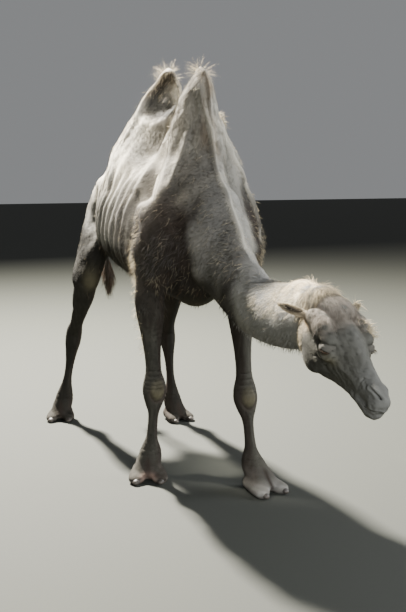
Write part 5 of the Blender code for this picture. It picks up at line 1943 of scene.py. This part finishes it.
def clumps(centres, ways, per_clump, spread, length, width, wash_to, rise=0.5, fall=0.25, mess=0.35):
    """Long locks in clumps: roots strewn round each centre and snapped to the skin, leaning one way.

    wash_to is (colour, amount): how far their colour moves from the coat's own at their root.
    """
    count = max(1, round(per_clump * SPARE))
    centres, ways = np.repeat(centres, count, axis=0), np.repeat(ways, count, axis=0)
    roots = centres + chance.normal(0, 1, centres.shape) * spread
    out = np.empty_like(roots)
    for row, root in enumerate(roots):
        roots[row], out[row] = skin_tree.find_nearest(Vector(root))[:2]
    lie = ways - out * (ways * out).sum(1, keepdims=True)
    lie = unit(lie + chance.normal(0, mess, lie.shape))
    lie = unit(lie - out * (lie * out).sum(1, keepdims=True))
    size = len(roots)
    target, amount = wash_to
    return {
        "roots": roots,
        "out": out,
        "lie": lie,
        "length": length * chance.uniform(0.45, 1.2, size),
        "width": width * chance.uniform(0.6, 1.2, size),
        "rise": rise * chance.uniform(0.4, 1.4, size),
        "fall": fall * chance.uniform(0.3, 1.6, size),
        "shade": np.exp(chance.normal(0, 0.15, size)),
        "colours": wash(markings(roots, out), amount * chance.uniform(0.4, 1.3, size), target),
    }


def merged(name, tufts, slot, rings=3):
    """Several sets of long locks as one piece."""
    one = {key: np.concatenate([tuft[key] for tuft in tufts]) for key in tufts[0]}
    locks(name, rings=rings, slot=slot, hug=False, **one)


def wool(name, slot, seats, looks):
    """One piece of wool from two tables.

    seats: for each set, its weights over the skin's triangles and its number of clumps.
    looks: for each set, its way and then what clumps takes, from locks to a clump on.
    A way of None is the lie of the coat, and (keep, add) is keep * the skin's own direction + add.
    """
    centres = {
        key: sprinkle(np.maximum(weights * 1.0, 0), max(1, round(count * SPARE)))
        for key, (weights, count) in seats.items()
    }
    tufts = []
    for key, (way, *shape) in looks.items():
        roots, out = centres[key]
        ways = lie_of(roots, out) if way is None else out * way[0] + way[1]
        tufts.append(clumps(roots, ways, *shape))
    merged(name, tufts, slot)


print("straw-white of old wool:", WHITE.round(3))

# %% [markdown]
# ## Wool on humps and body
# Where wool stays is told by masks over the skin: the sharp rims and the tips of the humps, the
# outside of the arms, the elbows, the fringe of the left shoulder, the flanks and the belly.

# %% Wool on humps and body
x_out, y_out, z_out = triangle_out.T
humps = part["hump"] > 0.5
rim = humps * ramp(np.abs(x_out), 0.2, 0.8) * ramp(noise(triangle_middle, 0.12, 71), -0.1, 0.6)
rim *= np.where(tx > 0, 1.0, 0.25) * (1 - in_cave(triangle_middle))
HUMP_SEATS = {
    "tip": (tz > 2.0, 70),
    "peak": ((tz > 2.06) * ramp(z_out, -0.2, 0.5) * np.where(ty < 0.33, 1.0, 0.35), 26),
    "rim": (rim, 170),
    "back": (humps * ramp(y_out, 0.2, 0.7), 90),
    "left_base": (blob(triangle_middle, (0.13, 0.09, 1.86), (0.03, 0.06, 0.05)) * (tx > 0.05), 16),
}
HUMP_WOOL = {
    "tip": (((1, 1, 0.2), (0, 0.1, -0.4)), 6, 0.014, 0.04, 0.0013, (WHITE, 0.4), 0.5, 0.5, 0.6),
    "peak": (((1, 1, 0), (0, 0.2, 0)), 13, 0.007, 0.078, 0.0007, (WHITE, 0.7), 1.5, 0.25, 0.6),
    "rim": (None, 4, 0.016, 0.034, 0.0013, (STRAW, 0.35), 0.28, 0.3),
    "back": (None, 7, 0.016, 0.045, 0.0014, (STRAW, 0.5), 0.45, 0.3),
    "left_base": (((1, 1, 1), (0.2, 0, 0.2)), 22, 0.008, 0.055, 0.0024, (STRAW, 0.9), 0.8, 0.5, 0.4),
}
wool("wool_humps", "wool", HUMP_SEATS, HUMP_WOOL)

ARM_EDGE = [
    (-0.3, 0.16, 1.4),
    (-0.315, 0.19, 1.22),
    (-0.3, 0.19, 1.05),
    (-0.27, 0.18, 0.9),
    (-0.25, 0.18, 0.72),
]


def between(values, low, high):
    """1 where low < value < high, else 0."""
    return (values > low) * (values < high)


wide = np.abs(tx)
arm = between(ty, -0.22, 0.48) * (wide > 0.17) * between(tz, 0.9, 1.45) * ramp(np.abs(x_out), 0.3, 0.8)
ragged = ramp(noise(triangle_middle, 0.16, 72), -0.2, 0.5)
elbow = ramp(y_out, 0, 0.5) * between(tz, 0.86, 1.25) * between(ty, 0.05, 0.5) * (wide > 0.13)
fringe = ramp(0.5 - np.abs(y_out), 0, 0.3) * (tx > 0.1) * between(tz, 1.15, 1.72)
BODY_SEATS = {
    "right_arm": (arm * ragged * (tx < 0), 300),
    "left_arm": (arm * ragged * (tx > 0), 200),
    "elbows": (elbow, 110),
    "arm_edge": (ramp(0.06 - near_line(triangle_middle, ARM_EDGE)[0], 0, 0.03), 50),
    "front": (ramp(-y_out, 0, 0.5) * between(tz, 1.0, 1.75) * between(ty, -0.45, 0.2), 380),
    "fringe": (fringe * between(ty, -0.28, 0.16), 150),
    "flank": (torso * ramp(ty, 0.35, 0.5), 420),
    "belly": ((z_out < -0.5) * between(tz, 0.85, 1.2) * between(ty, -0.1, 1.1), 160),
}
BODY_WOOL = {
    "right_arm": (None, 6, 0.018, 0.04, 0.0012, (GREY, 0.14), 0.4, 0.35, 0.5),
    "left_arm": (None, 5, 0.018, 0.034, 0.002, (STRAW, 0.4), 0.5, 0.35, 0.4),
    "arm_edge": ((0, (-1.0, 0.3, -0.1)), 9, 0.014, 0.046, 0.001, (STRAW * 0.85, 0.7), 0.8, 0.35, 0.5),
    "elbows": (None, 7, 0.012, 0.045, 0.002, (STRAW, 0.5), 0.6, 0.4),
    "front": (None, 3, 0.02, 0.04, 0.0013, (STRAW, 0.4), 0.25, 0.3, 0.6),
    "fringe": (None, 5, 0.01, 0.034, 0.002, (STRAW, 0.6), 0.6, 0.2),
    "flank": (None, 2, 0.02, 0.035, 0.0018, (STRAW, 0.3), 0.2, 0.2, 0.4),
    "belly": (None, 4, 0.02, 0.035, 0.0022, (BROWN, 0.5), 0.5, 0.3),
}
wool("wool_body", "coat", BODY_SEATS, BODY_WOOL)

# %% [markdown]
# ## Wool on head, neck and tail
# The crown carries a mop that falls forwards and sideways from one point, and a beard hangs behind
# the jaw. The nape keeps a pale ruff, and the tail ends in a brown tassel.

# %% Wool on head, neck and tail
mane = part["neck"] > 0.5
bare_ears = part["head"] * (part["ear"] < 0.2)
side_mop = bare_ears * ramp(np.abs(head_spot[:, 1]), 0.055, 0.08) * ramp(head_spot[:, 2], -0.045, -0.01)
side_mop = side_mop * ramp(head_spot[:, 0], 0.02, 0.06) * ramp(0.225 - head_spot[:, 0], 0, 0.03)
pair_spot = np.abs(head_spot * (0, 1, 0)) + head_spot * (1, 0, 1)
HEAD_SEATS = {
    "nape": (between(ty, -1.12, -0.68) * ramp(z_out, 0, 0.5), 300),
    "strays": (mane * ramp(z_out, -0.5, 0.2), 160),
    "throat": (mane * (z_out < -0.5), 120),
    "mop": (bare_ears * under_mop(head_spot), 260),
    "top": (bare_ears * ramp(head_spot[:, 2], 0.05, 0.09) * ramp(0.06 - head_spot[:, 0], 0, 0.05), 60),
    "side": (side_mop, 70),
    "beard": (bare_ears * blob(pair_spot, (0.02, 0.065, -0.12), (0.024, 0.05, 0.09)), 150),
    "ears": (part["ear"], 40),
    "left_brow": (bare_ears * blob(head_spot, (0.185, 0.105, 0.012), (0.035, 0.03, 0.02)), 16),
}
BROW_KEEP, BROW_LEAN = (0.4, 0, 0), (0.6, -0.4, 0.5)
HEAD_WOOL = {
    "nape": (None, 8, 0.014, 0.055, 0.0013, (WHITE, 0.45), 0.24, 0.25),
    "strays": (None, 2, 0.02, 0.045, 0.0016, (STRAW, 0.5), 0.25, 0.2),
    "mop": (None, 13, 0.009, 0.048, 0.0012, (MOP * 1.5, 0.3), 0.09, 0.25, 0.18),
    "top": (None, 16, 0.01, 0.058, 0.001, (WHITE * 0.7, 0.6), 0.38, 0.25, 0.4),
    "side": (None, 7, 0.01, 0.028, 0.0011, (STRAW, 0.1), 0.09, 0.2, 0.22),
    "left_brow": ((BROW_KEEP, BROW_LEAN), 14, 0.007, 0.042, 0.0014, (WHITE, 0.7), 0.9, 0.25, 0.35),
    "beard": ((0, HEAD_TURN @ (-0.8, 0, -0.6)), 8, 0.008, 0.036, 0.0013, (STRAW, 0.4), 0.2, 0.35),
    "ears": (None, 8, 0.004, 0.018, 0.0013, (WHITE, 0.6), 0.3, 0.1),
    "throat": (None, 5, 0.02, 0.03, 0.002, (GREY, 0.5), 0.35, 0.5),
}
wool("wool_head", "coat", HEAD_SEATS, HEAD_WOOL)

TAIL_SEATS = {"tassel": ((part["tail"] > 0.5) * (tz < 1.02), 60)}
TASSEL = (BROWN * 0.8, 0.9)
TAIL_WOOL = {"tassel": ((0, (0, 0.05, -1.0)), 22, 0.008, 0.105, 0.0026, TASSEL, 0.14, 0.1, 0.1)}
wool("wool_tail", "wool", TAIL_SEATS, TAIL_WOOL)

# %% [markdown]
# ## Lashes and the hair of the lids
# A camel's lashes keep sand out, so the upper row is long, thick and bent down over the slit. The
# lids are pieces of their own, so their very short hair is sown on their own rings of points.

# %% Lashes
LASH_ROWS = ((1, 30, 0.02, 0.5), (-1, 12, 0.008, 0.2))  # upper or lower, lashes, length, bend
LASH_WIDTH, LASH_RISE, LASH_LIFT = 0.001, 0.95, 0.0022

lash_sets = []
for side in SIDES.values():
    axis, along, up = eye_directions(side)
    for sign, count, reach, drop in LASH_ROWS:
        turn = np.linspace(0.16 * math.pi, 0.84 * math.pi, count) * sign + chance.normal(0, 0.03, count)
        half = SLIT_UP if sign > 0 else SLIT_DOWN
        flat = np.stack([SLIT_HALF_LENGTH * 1.05 * np.cos(turn), (half + 0.0016) * np.sin(turn)], -1)
        toward = unit(axis + (flat[:, :1] * along + flat[:, 1:] * up) / EYE_RADIUS)
        lean = unit(axis * 0.9 + along * (0.35 + 0.5 * np.cos(turn))[:, None] + up * (0.1 * sign))
        out = toward @ HEAD_TURN.T
        lash_sets.append({
            "roots": from_head(mirrored(EYE_MIDDLE, side) + toward * (EYE_RADIUS + LASH_LIFT)),
            "out": out,
            "lie": unit(np.cross(np.cross(out, lean @ HEAD_TURN.T), out)),
            "length": reach * chance.uniform(0.7, 1.15, count),
            "width": np.full(count, LASH_WIDTH),
            "rise": np.full(count, LASH_RISE),
            "fall": np.full(count, drop),
            "shade": chance.uniform(0.7, 1.2, count),
            "colours": np.tile(BROWN * 0.5, (count, 1)),
        })
merged("lashes", lash_sets, "coat")

# %% Fine hair on the lids
LID_HAIRS = 2600  # on each side
LID_HAIR_LENGTHS, LID_HAIR_WIDTH = (0.0035, 0.0065), 0.001

lid_sets = []
for name, side in SIDES.items():
    ring = lid_rings[name][0][: LID_ROWS * LID_AROUND].reshape(LID_ROWS, LID_AROUND, 3)
    row = chance.uniform(0.16, 0.97, LID_HAIRS) * (LID_ROWS - 1)
    low, column = row.astype(int), chance.integers(0, LID_AROUND, LID_HAIRS)
    here, below, beside = ring[low, column], ring[low + 1, column], ring[low, (column + 1) % LID_AROUND]
    roots = here + (row - low)[:, None] * (below - here) + chance.random((LID_HAIRS, 1)) * (beside - here)
    out = unit(np.cross(beside - here, below - here))
    out *= np.sign(((roots - from_head(mirrored(EYE_MIDDLE, side))) * out).sum(1))[:, None]
    lid_sets.append((roots, out))
roots, out = (np.concatenate(both) for both in zip(*lid_sets))
lid_length = chance.uniform(*LID_HAIR_LENGTHS, len(roots))
locks("coat_lids", roots, out, lie_of(roots, out), lid_length, LID_HAIR_WIDTH, 1, "coat", hug=False)

# %% [markdown]
# ## Home
# The skin was left in the animal's own frame, because the coat is sown on it. Now it moves home as
# the other pieces did, and the solids are hidden.

# %% Send the skin home
move_to(skin.data, places(skin.data) + HOME)
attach(skin, "root")
flesh = [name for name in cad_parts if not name.startswith(("eye_", "toenail_"))]
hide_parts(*flesh)
